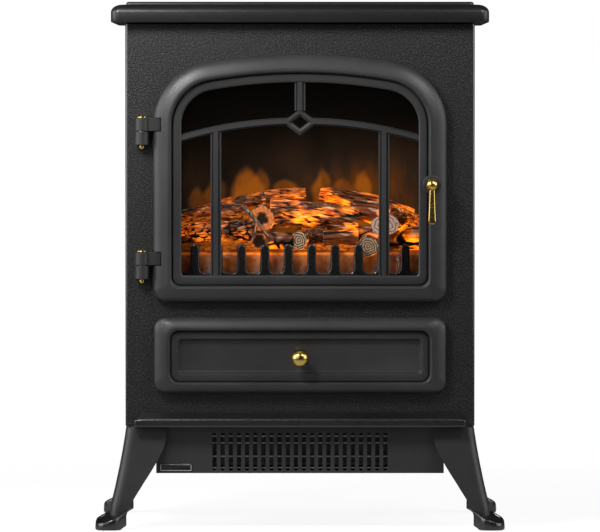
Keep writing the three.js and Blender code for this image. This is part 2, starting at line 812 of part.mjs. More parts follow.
// moulded logs: end points, radius at each end, bow at the middle and the seed of its lumps
const LOGS = {
  log_rear_left: { from: [-117, -37, 318], to: [4, -34, 342], radii: [10, 9], bow: [0, 0, 4], seed: 1 },
  log_rear_right: { from: [18, -34, 344], to: [114, -38, 316], radii: [9.5, 10.5], bow: [0, 0, 5], seed: 2 },
  log_centre: { from: [-46, -57, 326], to: [62, -55, 314], radii: [15, 13], bow: [0, 0, 3], seed: 3 },
  log_left: { from: [-121, -66, 300], to: [-50, -62, 309], radii: [15, 15], bow: [0, 0, 4], seed: 4 },
  log_right: { from: [84, -74, 310], to: [121, -50, 312], radii: [13, 17], bow: [0, 0, 0], seed: 5 },
  log_front: { from: [-46, -76, 293], to: [80, -77, 296], radii: [6.5, 8.5], bow: [0, 2, -2], seed: 6 },
  branch_fork: { from: [-70, -72, 332], to: [-36, -86, 298], radii: [4, 5], bow: [4, -2, 2], seed: 7 },
};

function logBody({ from, to, radii, bow, seed }, grow = 0) {
  const start = new THREE.Vector3(...from);
  const end = new THREE.Vector3(...to);
  const along = end.clone().sub(start).normalize();
  const side = new THREE.Vector3(0, 0, 1).cross(along).normalize();
  const up = along.clone().cross(side);
  const steps = 7;
  const facets = 10;
  const rings = Array.from({ length: steps + 1 }, (_, i) => {
    const t = i / steps;
    const middle = start.clone().lerp(end, t);
    middle.addScaledVector(new THREE.Vector3(...bow), Math.sin(Math.PI * t));
    middle.addScaledVector(along, (2 * t - 1) * grow);
    const swell = THREE.MathUtils.lerp(radii[0], radii[1], t) * (1 + 0.06 * Math.sin(5 * t + seed * 2));
    return Array.from({ length: facets }, (_, j) => {
      const angle = (2 * Math.PI * j) / facets;
      const lump = 1 + 0.07 * Math.sin(3 * angle + seed) + 0.04 * Math.sin(5 * angle + seed * i);
      const radius = swell * lump + grow;
      return middle
        .clone()
        .addScaledVector(side, radius * Math.cos(angle))
        .addScaledVector(up, radius * Math.sin(angle));
    });
  });
  const flat = (p) => new THREE.Vector2(p.dot(side), p.dot(up));
  return loft(rings, flat);
}

// a later log is notched where it lies on the bed or on an earlier log
function addLogs() {
  const settled = [emberBed(GAP)];
  for (const [name, log] of Object.entries(LOGS)) {
    add(name, largestOf(cut(logBody(log), ...settled)), 'bark');
    settled.push(logBody(log, GAP));
  }
}

function largestOf(geometry) {
  const pieces = solidOf(geometry).decompose();
  return geometryOf(pieces.reduce((a, b) => (b.volume() > a.volume() ? b : a)));
}

// a shaft of angled bright blades that throws moving light on the screen
function flameSpindle() {
  const { y, z, radius, left, right, blades, blade } = SPINDLE;
  const shaft = cylinder('x', radius, left, right, y, z, 12);
  const pitch = 252 / blades;
  const plates = Array.from({ length: blades }, (_, i) => {
    const plate = new THREE.BoxGeometry(pitch * 0.7, 0.8, blade).rotateX((i * Math.PI * 2) / 5);
    return plate.translate((i - (blades - 1) / 2) * pitch, y, z);
  });
  return join(shaft, ...plates);
}

function spindleBearing() {
  const { y, z, radius } = SPINDLE;
  const wall = -FIREBOX.halfWidth + THIN + GAP;
  const flange = box(wall, wall + 1.4, y - 9, y + 9, z - 14, z + 14);
  const boss = cylinder('x', 6, wall + 0.5, wall + 6, y, z, 16);
  return cut(join(flange, boss), cylinder('x', radius + 0.2, wall - 1, wall + 7, y, z, 12));
}

function flameMotor() {
  const { y, z, radius } = SPINDLE;
  const wall = FIREBOX.halfWidth + GAP;
  const end = wall + 15;
  const can = [[0, wall], [20, wall], [22, wall + 2], [22, end - 2], [20, end], [0, end]];
  const bore = cylinder('x', radius + 0.2, wall - 1, SPINDLE.right + 1, y, z, 12);
  return cut(turned('x', can, y, z, 18), bore);
}

// ---- fan heater under the floor ----------------------------------------------------------

function outletGrille() {
  const { halfWidth: w, bottom, top, front, back } = OUTLET;
  const half = SLOT.width / 2;
  const slots = Array.from({ length: SLOT.count }, (_, i) => {
    const x = (i - (SLOT.count - 1) / 2) * SLOT.pitch;
    return prismY(shapeOf([
      ...arc(x, SLOT.top - half, half, 0, 180, 3),
      ...arc(x, SLOT.bottom + half, half, 180, 360, 3),
    ]), front - 1, back + 1);
  });
  return cut(box(-w, w, front, back, bottom, top), ...slots);
}

function heaterHousing() {
  const { halfWidth: w, front, back, bottom, top } = DUCT;
  const intakes = Array.from({ length: 6 }, (_, i) => {
    const x = -95 + i * 32;
    return box(x, x + 26, back - 3, back + 1, 68, 94);
  });
  return cut(
    box(-w, w, front, back, bottom, top),
    box(-w + THIN, w - THIN, front - 1, back - THIN, bottom + THIN, top - THIN),
    ...intakes,
  );
}

function guardRack() {
  const y = -101.4;
  const wires = [94.5, 87.5, 73.7, 62].map((z) => cylinder('x', 0.9, -97, 97, y, z, 6));
  const posts = [-97, 0, 97].map((x) => cylinder('z', 1.1, 60, 100, x, y + 0.4, 6));
  return join(...wires, ...posts);
}

function heatingElement() {
  const fins = Array.from({ length: 14 }, (_, i) => {
    const x = -88 + i * 12.8;
    return box(x, x + 8, -99, -94, 68, 96);
  });
  return cut(box(-94, 94, -97.5, -86, 64, 100), ...fins);
}

function blowerRotor() {
  const { y, z, radius, inner, left, right, blades } = ROTOR;
  const discs = [left, -2, right - 2].map((x) => cylinder('x', radius, x, x + 2, y, z, 20));
  const vanes = Array.from({ length: blades }, (_, i) => {
    const vane = new THREE.BoxGeometry(right - left - 1, 1, radius - inner);
    vane.rotateX(0.5).translate((left + right) / 2, 0, (radius + inner) / 2 - 0.8);
    return vane.rotateX((i * 2 * Math.PI) / blades).translate(0, y, z);
  });
  const leftStub = cylinder('x', 2, left - 8, left + 1, y, z, 12);
  const rightStub = cylinder('x', 2, right - 1, right + 20, y, z, 12);
  return join(...discs, ...vanes, leftStub, rightStub);
}

function rotorBearing() {
  const { y, z, left } = ROTOR;
  const face = left - 3;
  const post = box(face - 5, face, y - 8, y + 8, DUCT.bottom + THIN + GAP, z);
  const eye = cylinder('x', 8, face - 5, face, y, z, 16);
  return cut(join(post, eye), cylinder('x', 2.25, face - 6, face + 1, y, z, 12));
}

function blowerMotor() {
  const { y, z, right } = ROTOR;
  const face = right + 6;
  const end = face + 32;
  const can = [[0, face], [14, face], [16, face + 3], [16, end - 4], [13, end], [0, end]];
  return cut(turned('x', can, y, z, 16), cylinder('x', 2.25, face - 1, right + 22, y, z, 12));
}

// ---- small fittings ----------------------------------------------------------------------

function labelPlate() {
  return box(-143.8, -111, OUTLET.front - 1, OUTLET.front - GAP, 58.5, 66.3);
}

function doorMagnet() {
  return box(138, 146, -BODY.halfDepth - 0.1, -96, 380, 400);
}

function cableGland() {
  const outer = BODY.halfDepth + GAP;
  return turned('y', [
    [3.6, 101],
    [7, 101],
    [7, outer],
    [10.5, outer],
    [10.5, outer + 2.4],
    [7, outer + 4],
    [5.2, outer + 10],
    [3.6, outer + 10],
    [3.6, 101],
  ], 120, 140, 14);
}

// ---- assembly ----------------------------------------------------------------------------

add('top_plate', topPlate(), 'satinBlack');
add('front_panel', frontPanel(), 'texturedBlack');
add('left_side_panel', sidePanel(-1), 'texturedBlack');
add('right_side_panel', sidePanel(1), 'texturedBlack');
add('back_panel', backPanel(), 'texturedBlack');
add('base_plate', basePlate(), 'texturedBlack');
add('base_ledge', baseLedge(), 'satinBlack');

const leg = legFrontLeft();
add('leg_front_left', turnedCopy(leg, false, false), 'satinBlack');
add('leg_front_right', turnedCopy(leg, true, false), 'satinBlack');
add('leg_rear_left', turnedCopy(leg, false, true), 'satinBlack');
add('leg_rear_right', turnedCopy(leg, true, true), 'satinBlack');

add('firebox_liner', fireboxLiner(), 'liner');
add('flame_screen', flameScreen(), 'screen');
add('ember_bed', emberBed(), 'ember');
add('led_strip', ledStrip(), 'moulded');
add('grate_fret', grateFret(), 'castBlack');
addLogs();
add('flame_spindle', flameSpindle(), 'steel');
add('spindle_bearing', spindleBearing(), 'moulded');
add('flame_motor', flameMotor(), 'steel');

add('control_fascia', controlFascia(), 'moulded');
ROCKER_X.forEach((x, i) => {
  add(`switch_body_${i + 1}`, switchBody(x), 'moulded');
  add(`rocker_${i + 1}`, rocker(x), i === 0 ? 'moulded' : 'red');
});
add('thermostat_body', thermostatBody(), 'steel');
add('thermostat_dial', thermostatDial(), 'moulded');

add('outlet_grille', outletGrille(), 'satinBlack');
add('heater_housing', heaterHousing(), 'liner');
add('guard_rack', guardRack(), 'steel');
add('heating_element', heatingElement(), 'steel');
add('blower_rotor', blowerRotor(), 'steel');
add('rotor_bearing', rotorBearing(), 'moulded');
add('blower_motor', blowerMotor(), 'steel');

add('door_frame', doorFrame(), 'satinBlack');
add('door_glass', doorGlass(), 'glass');
add('door_lattice', doorLattice(), 'satinBlack');
for (const [name, level] of Object.entries(HINGE_LEVELS)) {
  add(`${name}_hinge_leaf`, hingeLeaf(level), 'satinBlack');
  add(`${name}_hinge_bracket`, hingeBracket(level), 'satinBlack');
  add(`${name}_hinge_pin`, hingePin(level), 'brass');
}
add('door_handle', doorHandle(), 'brass');
add('handle_nut', handleNut(), 'steel');
add('door_magnet', doorMagnet(), 'castBlack');

add('control_flap', controlFlap(), 'satinBlack');
add('flap_knob', flapKnob(), 'brass');
add('flap_bracket_left', flapBracket(-FLAP.bracketX), 'steel');
add('flap_bracket_right', flapBracket(FLAP.bracketX), 'steel');

add('label_plate', labelPlate(), 'label');
add('cable_gland', cableGland(), 'moulded');

export default model;
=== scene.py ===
"""Looks of a free-standing electric stove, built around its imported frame.

Lengths inside the shape functions are in millimetres and become metres when a mesh is made.
"""

import json
import math

import bpy
import bmesh
from mathutils import Matrix, Vector, noise

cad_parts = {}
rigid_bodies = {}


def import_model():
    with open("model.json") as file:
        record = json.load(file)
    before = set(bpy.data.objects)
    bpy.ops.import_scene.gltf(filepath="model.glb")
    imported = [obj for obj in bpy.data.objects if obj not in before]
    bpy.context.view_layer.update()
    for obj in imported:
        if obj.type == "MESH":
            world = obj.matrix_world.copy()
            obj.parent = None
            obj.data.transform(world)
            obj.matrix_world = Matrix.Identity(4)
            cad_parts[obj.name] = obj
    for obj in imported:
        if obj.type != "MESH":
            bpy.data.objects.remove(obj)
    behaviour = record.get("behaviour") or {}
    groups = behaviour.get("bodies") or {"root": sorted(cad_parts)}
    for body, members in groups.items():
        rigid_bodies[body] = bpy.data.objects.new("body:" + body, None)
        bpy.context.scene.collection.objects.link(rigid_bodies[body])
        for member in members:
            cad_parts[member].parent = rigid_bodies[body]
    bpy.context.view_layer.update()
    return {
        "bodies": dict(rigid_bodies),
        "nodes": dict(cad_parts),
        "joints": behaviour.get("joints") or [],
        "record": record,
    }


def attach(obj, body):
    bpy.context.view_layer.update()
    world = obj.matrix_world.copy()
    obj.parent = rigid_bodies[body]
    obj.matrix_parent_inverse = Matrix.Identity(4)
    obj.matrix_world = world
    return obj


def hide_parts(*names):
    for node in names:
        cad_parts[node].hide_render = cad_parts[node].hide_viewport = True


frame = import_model()
nodes = frame["nodes"]

MM = 0.001
TAU = 2 * math.pi

# ---- sizes and places, in millimetres ----

HEIGHT = 540
TOP_X, TOP_Y, TOP_LOW, TOP_ROLL, ROLL_DROP = 193.4, 123.5, 518.6, 11.5, 8.2
SLAB_INSET, SLAB_RISE, SLAB_EDGE = 15.4, 3, 2.4
BODY_X, BODY_Y, BODY_LOW, BODY_HIGH, BODY_EDGE = 179, 108.5, 105.5, 517, 3
SHEET, FOLD = 1.5, 18.5
WINDOW_INSET = 22
CONTROLS_X, CONTROLS_LOW, CONTROLS_HIGH = 118, 150, 200
MAGNET_HOLE = ((137.7, 379.7), (146.3, 400.3))
LEDGE_X, LEDGE_HIP_X, LEDGE_Y = 170, 162, -121
LEDGE_LOW, LEDGE_LIP, LEDGE_CREST = 104.3, 112.5, 120.6
SCREW_X, SCREW_LEVELS = 171, (125, 250, 375, 500)

LEG_X, LEG_Y, LEG_WALL, LEG_BEND = 178.4, 108, 2.2, 9.5
# height, splay along each axis and arm length, from the cabinet to the toe
LEG_LEVELS = [(105.2, 0, 42.4), (86, 2.9, 42.6), (66, 6.5, 36.6), (44.3, 11, 27.6), (24, 15.6, 20),
              (10, 17, 16.5)]
TOE_X, TOE_Y, TOE_RIM, TOE_FALL = 194.4, 124.9, 14.7, 0.42
# half outline of the toe: outwards along the diagonal, and across it
TOE_OUTLINE = [(15.8, 0), (15, 5), (12.2, 9), (8.6, 12.4), (4, 14.5), (-4, 13.6), (-11.5, 12.4)]

DOOR_HALF, DOOR_LOW, DOOR_BACK = 150, 232.8, -109.3
CROWN_RADIUS, CROWN_Z = 550, -63.8
SHOULDER_RADIUS, SHOULDER_X, SHOULDER_Z = 65, 85, 413.7
ARCH_RADIUS, ARCH_TOP, ARCH_SPAN, STEM_X = 440, 417.7, 16.2, 86
DIAMOND_Z, DIAMOND_SLOPE = 416.6, 0.745

HINGE_X, HINGE_Y, HINGE_REACH, KNUCKLE, HINGE_HEIGHT = -161.7, -116, -142.5, 7.2, 13.3
HINGE_LEVELS = {"upper": 407.6, "lower": 270.4}  # underside of each door knuckle
HANDLE_X, HANDLE_Y, HANDLE_Z = 134.8, -132, 353
GAP = 0.3
HANDLE_BALL = 6.25
KNOB_Y, KNOB_Z, KNOB_BALL = -130.9, 175.5, 8.9

SLOT_COUNT, SLOT_PITCH, SLOT_HALF, SLOT_TOP, SLOT_FOOT = 22, 8.35, 2.2, 98.3, 59.1
GRILLE_X, GRILLE_LOW, GRILLE_HIGH = 147.6, 56.6, 104
LABEL_EDGES = (-143.2, -111.6, 59.1, 65.7)

BED_HALF = 126
# depth and height across the ember bed, from its front lip to the screen
BED_SECTION = [(-87, 247.6), (-87, 252), (-86.6, 257), (-84.6, 264), (-82.6, 270), (-80.4, 275.4),
               (-78, 279.6), (-75.4, 282.4), (-71.5, 284.2), (-64, 285.6), (-56, 287), (-48, 288.4),
               (-36, 290.6), (-28, 293.5), (-22.2, 296.6)]
FRET_X, FRET_LOW = 121, 249
PRONG_COUNT, PRONG_PITCH, PRONG_HALF, PRONG_ROOT, PRONG_CROWN = 10, 24, 4.6, 262, 286.9
# kind of bark, start, end, radii at both, rise of the middle, seed and, if flattened, by how much
LOGS = {
    "log_rear_left": ("pale", (-119, -37, 317), (-36, -36, 338), (6, 8), 3, 11),
    "log_rear_mid": ("pale", (-44, -35, 338), (6, -34, 342), (7, 6.5), 1, 17),
    "log_rear_right": ("warm", (20, -34, 341), (117, -38, 317), (8, 9), 6, 23),
    "log_centre": ("char", (-32, -60, 323), (60, -57, 314), (14.5, 13.5), 2, 31),
    "log_knot": ("warm", (-34, -48, 320), (-39, -74, 317), (13.5, 13), 0, 33),
    "log_left": ("dark", (-123, -62, 317), (-54, -60, 322), (9, 9.5), 3, 42),
    "log_left_low": ("scaly", (-124, -72, 301), (-46, -71, 304), (10, 11.5), 2, 47),
    "log_right_mid": ("split", (54, -50, 327), (92, -54, 317), (11, 13), 2, 53),
    "log_right": ("crumb", (92, -52, 322), (121, -50, 306), (12, 14), 0, 55),
    "log_right_end": ("warm", (100, -50, 313), (88, -84, 311), (16.5, 15.5), 0, 58, 0.72),
    "log_right_low": ("smooth", (60, -66, 298), (124, -66, 297), (12, 12), 0, 59),
    "log_front_left": ("smooth", (-35, -77, 295), (-6, -79, 295), (8.6, 8.2), 0, 61),
    "log_end_middle": ("warm", (3, -64, 296), (-1.5, -86, 295), (9.8, 9.2), 0, 62),
    "log_front_middle": ("crumb", (2, -73, 299), (28, -75, 300), (8.6, 7.8), 0, 64),
    "log_front_right": ("split", (24, -79, 297), (60, -78, 297), (7.6, 8.4), 1, 67),
    "log_end_right": ("warm", (74, -62, 291), (70, -85, 288.5), (11.6, 11), 0, 68),
    "log_stump": ("smooth", (-43, -66, 297), (-42, -84, 294), (9.2, 8.6), 0, 71),
    "branch_main": ("twig", (-60, -84, 331), (-33, -88, 299), (2.3, 1.8), 2, 81),
    "branch_side": ("twig", (-44, -86, 314), (-48, -88, 297), (1.7, 1.2), -1, 83),
}
STANDS_FOR = {"log_rear_left": ["log_rear_left"], "log_rear_right": ["log_rear_right"],
              "log_centre": ["log_centre"], "log_left": ["log_left"], "log_right": ["log_right"],
              "log_front_left": ["log_front"], "branch_main": ["branch_fork"]}
SCREEN_X, SCREEN_Y, SCREEN_LOW, SCREEN_HIGH, SCREEN_THICK = 134.7, -20, 247.5, 478.5, 2.4
# centre, foot, half width, height and strength of each flame
TONGUES = [(-56, 349, 18, 22, 0.85), (-88, 343, 13, 20, 0.6), (-40, 352, 10, 18, 0.6),
           (22, 349, 11, 20, 0.7), (66, 351, 10, 16, 0.55), (-16, 350, 14, 8, 0.5),
           (44, 350, 12, 9, 0.45), (-108, 336, 10, 14, 0.4)]

# ---- studio, in metres ----

WHITE, WARM = (1, 1, 1), (1.0, 0.86, 0.72)
# place, aim, width and height, watts, spread in degrees and tint
LAMPS = {
    "left_near": ((-0.42, -0.62, 0.86), (-0.12, -0.1, 0.50), (0.25, 0.25), 1.9, 100, WHITE),
    "right_near": ((0.5, -0.62, 0.86), (0.12, -0.1, 0.50), (0.25, 0.25), 0.7, 100, WHITE),
    "left_softbox": ((-0.75, -1.3, 0.60), (0, -0.1, 0.46), (0.5, 0.4), 0.4, 100, WHITE),
    "left_edge": ((-1.5, -0.45, 0.72), (-0.15, -0.05, 0.40), (1.2, 1.1), 14, 180, WHITE),
    "right_edge": ((1.5, -0.45, 0.72), (0.15, -0.05, 0.40), (1.2, 1.1), 9, 180, WHITE),
    "firebox_top": ((0, -0.09, 0.45), (0, -0.06, 0.30), (0.20, 0.02), 0.05, 150, WARM),
}
SKY_SEEN, SKY_AROUND = 1.0, 0.02
FLOOR_RADIUS, FLOOR_FADE, FLOOR_ALPHA, FLOOR_GLOW = 1200, (0.45, 1.0), 0.35, 0.70
CAMERA_PLACE, CAMERA_AIM, LENS, SENSOR = (0.0, -5.93, 0.435), (0, -0.13, 0.270), 341, 36


# ---- node graphs ----


class Graph:
    """A material's node tree, with short calls to add and join nodes."""

    def __init__(self, name):
        self.material = bpy.data.materials.new(name)
        self.material.use_nodes = True
        self.tree = self.material.node_tree
        self.tree.nodes.clear()
        self.output = self.tree.nodes.new("ShaderNodeOutputMaterial")
        self.shader = self.add("BsdfPrincipled")
        self.join(self.shader, "BSDF", self.output, "Surface")

    def add(self, kind, settings=None, **inputs):
        node = self.tree.nodes.new("ShaderNode" + kind)
        for key, value in (settings or {}).items():
            setattr(node, key, value)
        for key, value in inputs.items():
            node.inputs[key.replace("_", " ")].default_value = value
        return node

    def join(self, source, out, target, into):
        self.tree.links.new(source.outputs[out], target.inputs[into])

    def set(self, **inputs):
        for key, value in inputs.items():
            self.shader.inputs[key.replace("_", " ")].default_value = value

    def place(self, scale=(1, 1, 1), attribute=None):
        """Coordinates fixed to the piece, stretched by scale; or a stored vector of the mesh."""
        if attribute:
            source = self.add("Attribute", {"attribute_name": attribute})
            out = "Vector"
        else:
            source = self.add("TexCoord")
            out = "Object"
        mapping = self.add("Mapping", Scale=scale)
        self.join(source, out, mapping, "Vector")
        return mapping

    def noise(self, scale, detail=2.0, roughness=0.5, where=None):
        texture = self.add("TexNoise", Scale=scale, Detail=detail, Roughness=roughness)
        self.join(where or self.place(), "Vector", texture, "Vector")
        return texture

    def ramp(self, source, out, stops):
        """Colours along a value: stops are (position, colour)."""
        ramp = self.add("ValToRGB")
        points = ramp.color_ramp.elements
        while len(points) < len(stops):
            points.new(0.5)
        for point, (position, colour) in zip(points, stops):
            point.position = position
            point.color = (*colour, 1)
        self.join(source, out, ramp, "Fac")
        return ramp

    def bump(self, source, out, strength, distance, after=None):
        bump = self.add("Bump", Strength=strength, Distance=distance)
        self.join(source, out, bump, "Height")
        if after:
            self.join(after, "Normal", bump, "Normal")
        self.join(bump, "Normal", self.shader, "Normal")
        return bump

    def range(self, source, out, low, high, start=0.0, end=1.0):
        remap = self.add("MapRange")
        for key, value in (("From Min", start), ("From Max", end), ("To Min", low), ("To Max", high)):
            remap.inputs[key].default_value = value
        self.join(source, out, remap, "Value")
        return remap


    def colour(self, source, stops, out="Fac", into="Base Color"):
        """Joins colours along a value to the shader."""
        self.join(self.ramp(source, out, stops), "Color", self.shader, into)

    def rough(self, source, low, high, start=0.0, end=1.0):
        self.join(self.range(source, "Fac", low, high, start, end), "Result", self.shader, "Roughness")

    def maths(self, operation, *parts):
        """A sum on parts that are numbers or (node, output) pairs; gives such a pair."""
        step = self.add("Math", {"operation": operation})
        for i, part in enumerate(parts):
            if isinstance(part, tuple):
                self.join(*part, step, i)
            else:
                step.inputs[i].default_value = part
        return step, "Value"

    def product(self, first, *others):
        for other in others:
            first = self.maths("MULTIPLY", first, other)
        return first

    def mask(self, name):
        """A number stored on the mesh."""
        return self.add("Attribute", {"attribute_name": name}), "Fac"

    def from_axis(self, where):
        """Distance from the middle of the coordinates."""
        length = self.add("VectorMath", {"operation": "LENGTH"})
        self.join(where, "Vector", length, 0)
        return length, "Value"


# ---- materials ----


def wrinkle_paint(name):
    """Wrinkled powder coat: grains a millimetre or two wide that catch the light."""
    g = Graph(name)
    grain = g.noise(700, 2, 0.5)
    g.colour(grain, [(0.38, (0.003, 0.003, 0.0032)), (0.52, (0.009, 0.009, 0.0094)),
                     (0.66, (0.036, 0.036, 0.038))])
    g.rough(grain, 0.58, 0.42, 0.35, 0.7)
    g.set(Specular_IOR_Level=0.4)
    broad = g.bump(g.noise(260, 2), "Fac", 0.3, 0.0008)
    g.bump(grain, "Fac", 0.8, 0.0009, after=broad)
    return g.material


def satin_paint(name, shade=0.029, roughness=0.42, grain=0.12, specular=0.5):
    """Smoother satin paint on castings: a faint orange peel over fine dust."""
    g = Graph(name)
    peel = g.noise(700, 2, 0.5)
    cloud = g.noise(14, 3, 0.6)
    dark = (shade * 0.82, shade * 0.82, shade * 0.85)
    light = (shade * 1.25, shade * 1.25, shade * 1.3)
    g.colour(cloud, [(0.3, dark), (0.7, light)])
    g.rough(peel, roughness - 0.05, roughness + 0.07, 0.3, 0.7)
    g.set(Specular_IOR_Level=specular)
    g.bump(peel, "Fac", grain, 0.0004)
    return g.material


def metal(name, colour, roughness, brush=0.0):
    """Polished or plated metal with faint smudges, and brush marks where asked for."""
    g = Graph(name)
    g.set(Metallic=1.0)
    smudge = g.noise(160, 4, 0.65)
    deep = tuple(c * 0.86 for c in colour)
    g.colour(smudge, [(0.35, deep), (0.65, colour)])
    g.rough(smudge, roughness * 0.7, roughness * 1.5, 0.3, 0.75)
    if brush:
        g.bump(g.noise(90, 3, where=g.place((1, 40, 40))), "Fac", brush, 0.0002)
    return g.material


def moulded_plastic(name, colour, roughness=0.45):
    """Plastic with the fine grain of its mould."""
    g = Graph(name)
    grain = g.noise(1500, 2)
    dark = tuple(c * 0.8 for c in colour)
    g.colour(grain, [(0.35, dark), (0.65, colour)])
    g.rough(grain, roughness - 0.06, roughness + 0.08, 0.3, 0.7)
    g.bump(grain, "Fac", 0.3, 0.0002)
    return g.material


def soot_sheet(name):
    """Matt black liner with uneven smoky staining."""
    g = Graph(name)
    stain = g.noise(22, 5, 0.6)
    g.colour(stain, [(0.3, (0.004, 0.0035, 0.003)), (0.7, (0.014, 0.011, 0.009))])
    g.rough(stain, 0.8, 0.95)
    g.bump(g.noise(500, 2), "Fac", 0.2, 0.0003)
    return g.material


def stove_glass(name):
    """Clear tempered pane: light passes straight through and the surface keeps a weak mirror."""
    g = Graph(name)
    g.set(Base_Color=(0.004, 0.0035, 0.003, 1), Specular_IOR_Level=0.5, Alpha=0.10)
    g.rough(g.noise(30, 4, 0.6), 0.02, 0.10, 0.4, 0.8)
    return g.material


def bark(name, glow, shade, seed=0.0):
    """Moulded log: black cracks, charred plates, ash on the ridges, orange light coming through.

    The mesh stores grain, its position along and round the log, and relief, the height of its bark.
    """
    g = Graph(name)
    where = g.place((60, 240, 240), attribute="grain")
    where.inputs["Location"].default_value = (seed, seed * 0.7, 0)
    fibres = g.noise(1.0, 5, 0.66, where)
    patch_place = g.place((34, 60, 60), attribute="grain")
    patch_place.inputs["Location"].default_value = (seed * 1.7, 0, seed)
    patches = g.noise(1.0, 2, 0.5, patch_place)
    relief = g.mask("relief")

    mixed = g.product(relief, (g.range(fibres, "Fac", 0.55, 1.3, 0.3, 0.7), "Result"))
    cracked = tuple(c * 0.35 for c in shade)
    g.colour(mixed[0], [(0.30, (0.002, 0.0015, 0.001)), (0.50, cracked), (0.85, shade),
                        (1.0, (0.55, 0.50, 0.45))], out="Value")
    g.rough(fibres, 0.5, 0.9, 0.3, 0.7)

    open_bark = g.range(*relief, 0.0, 1.0, 0.34, 0.50)
    ashen = g.range(*relief, 1.0, 0.35, 0.88, 1.0)
    glowing = g.range(patches, "Fac", 0.03, 1.0, 0.45, 0.56)
    streak = g.range(fibres, "Fac", 0.30, 1.0, 0.40, 0.56)
    shares = [(node, "Result") for node in (open_bark, ashen, glowing, streak)]
    g.join(*g.product(*shares, g.mask("shine"), glow), g.shader, "Emission Strength")
    g.colour(fibres, [(0.38, (0.80, 0.09, 0.002)), (0.54, (1.0, 0.19, 0.003)), (0.70, (1.0, 0.30, 0.012))],
             into="Emission Color")
    g.set(Specular_IOR_Level=0.25)
    g.bump(fibres, "Fac", 0.9, 0.0009)
    return g.material


def cut_wood(name, pale, dark, glow=0.12, pitch=1500.0):
    """End grain: growth rings round the log's own axis."""
    g = Graph(name)
    where = g.place((0, 1, 1), attribute="grain")
    wobble = g.noise(160, 3, 0.6, where)
    turns = g.maths("MULTIPLY_ADD", g.from_axis(where), pitch, (g.range(wobble, "Fac", -6.0, 6.0), "Result"))
    rings = g.range(*g.maths("SINE", turns), 0.0, 1.0, -1.0, 1.0)
    g.colour(rings, [(0.1, dark), (0.75, pale)], out="Result")
    g.colour(rings, [(0.1, (0.20, 0.03, 0.002)), (0.75, (1.0, 0.52, 0.22))], out="Result",
             into="Emission Color")
    g.set(Emission_Strength=glow)
    g.rough(wobble, 0.6, 0.9)
    g.bump(rings, "Result", 0.6, 0.0006)
    return g.material


def burnt_end(name, core, glow):
    """A charred log end: a dark heart of the given radius inside a glowing orange rim."""
    g = Graph(name)
    where = g.place((0, 1, 1), attribute="grain")
    wobble = g.noise(210, 4, 0.65, where)
    edge = g.maths("MULTIPLY_ADD", (wobble, "Fac"), 8 * MM, g.from_axis(where))
    heat = g.range(*edge, 0.02, 1.0, core * MM + 4 * MM, core * MM + 7 * MM)
    g.colour(heat, [(0.0, (0.020, 0.010, 0.007)), (1.0, (0.42, 0.17, 0.08))], out="Result")
    g.join(*g.product((heat, "Result"), glow), g.shader, "Emission Strength")
    g.colour(g.noise(420, 3, 0.6, where), [(0.38, (0.25, 0.04, 0.004)), (0.62, (1.0, 0.24, 0.02))],
             into="Emission Color")
    g.set(Roughness=0.7, Specular_IOR_Level=0.2)
    g.bump(wobble, "Fac", 0.5, 0.0008)
    return g.material


def ember_skin(name):
    """Tinted ember moulding, brightest where it is thin and near the lamps."""
    g = Graph(name)
    where = g.place()
    coals = g.noise(75, 4, 0.6, where)
    clouds = g.noise(26, 3, 0.5, where)
    g.colour(coals, [(0.36, (0.015, 0.007, 0.004)), (0.52, (0.12, 0.035, 0.010)),
                     (0.70, (0.30, 0.12, 0.05))])
    g.rough(coals, 0.35, 0.75, 0.3, 0.7)
    g.colour(coals, [(0.30, (0.45, 0.05, 0.004)), (0.60, (0.95, 0.24, 0.02))], into="Emission Color")
    level = g.product((g.range(clouds, "Fac", 0.55, 1.25, 0.35, 0.7), "Result"), g.mask("shine"))
    g.join(*level, g.shader, "Emission Strength")
    g.bump(coals, "Fac", 0.5, 0.0008)
    return g.material


def flame_picture(name):
    """The rear screen: soft orange tongues over a smoky brown glow, from the mesh's own masks."""
    g = Graph(name)
    curl = g.noise(28, 4, 0.6, g.place((1, 1, 0.45)))
    torn = (g.range(curl, "Fac", 0.35, 1.15, 0.30, 0.66), "Result")
    heat = g.product(g.mask("tongues"), torn)
    haze = g.maths("MULTIPLY_ADD", g.mask("smoky"), torn, heat)
    g.colour(haze[0], [(0.0, (0.0012, 0.0009, 0.0006)), (0.16, (0.028, 0.013, 0.006)),
                       (0.40, (0.12, 0.032, 0.004)), (0.90, (0.34, 0.085, 0.004))],
             out="Value", into="Emission Color")
    g.set(Base_Color=(0.004, 0.003, 0.002, 1), Roughness=0.8, Emission_Strength=1.0)
    g.set(Specular_IOR_Level=0.08)
    return g.material


WRINKLE = wrinkle_paint("wrinkle_black")
SATIN = satin_paint("satin_black")
SMOOTH = satin_paint("smooth_black", shade=0.012, roughness=0.24, grain=0.03, specular=1.0)
# Painted shade: a darker, glossier copy of the satin black, so the base ledge stays dark.
LIP = satin_paint("ledge_shaded_black", shade=0.008, roughness=0.32, grain=0.05, specular=1.0)
# Painted shade: a darker copy of the satin black, so the top plate, which faces the lamps above, stays dark.
SHADED_BLACK = satin_paint("shaded_black", shade=0.010, roughness=0.36, grain=0.08, specular=0.6)
CAST = satin_paint("cast_black", shade=0.008, roughness=0.30, grain=0.02, specular=0.9)
BRASS = metal("polished_brass", (0.80, 0.56, 0.16), 0.24)
STEEL = metal("plated_steel", (0.55, 0.55, 0.56), 0.32, brush=0.2)
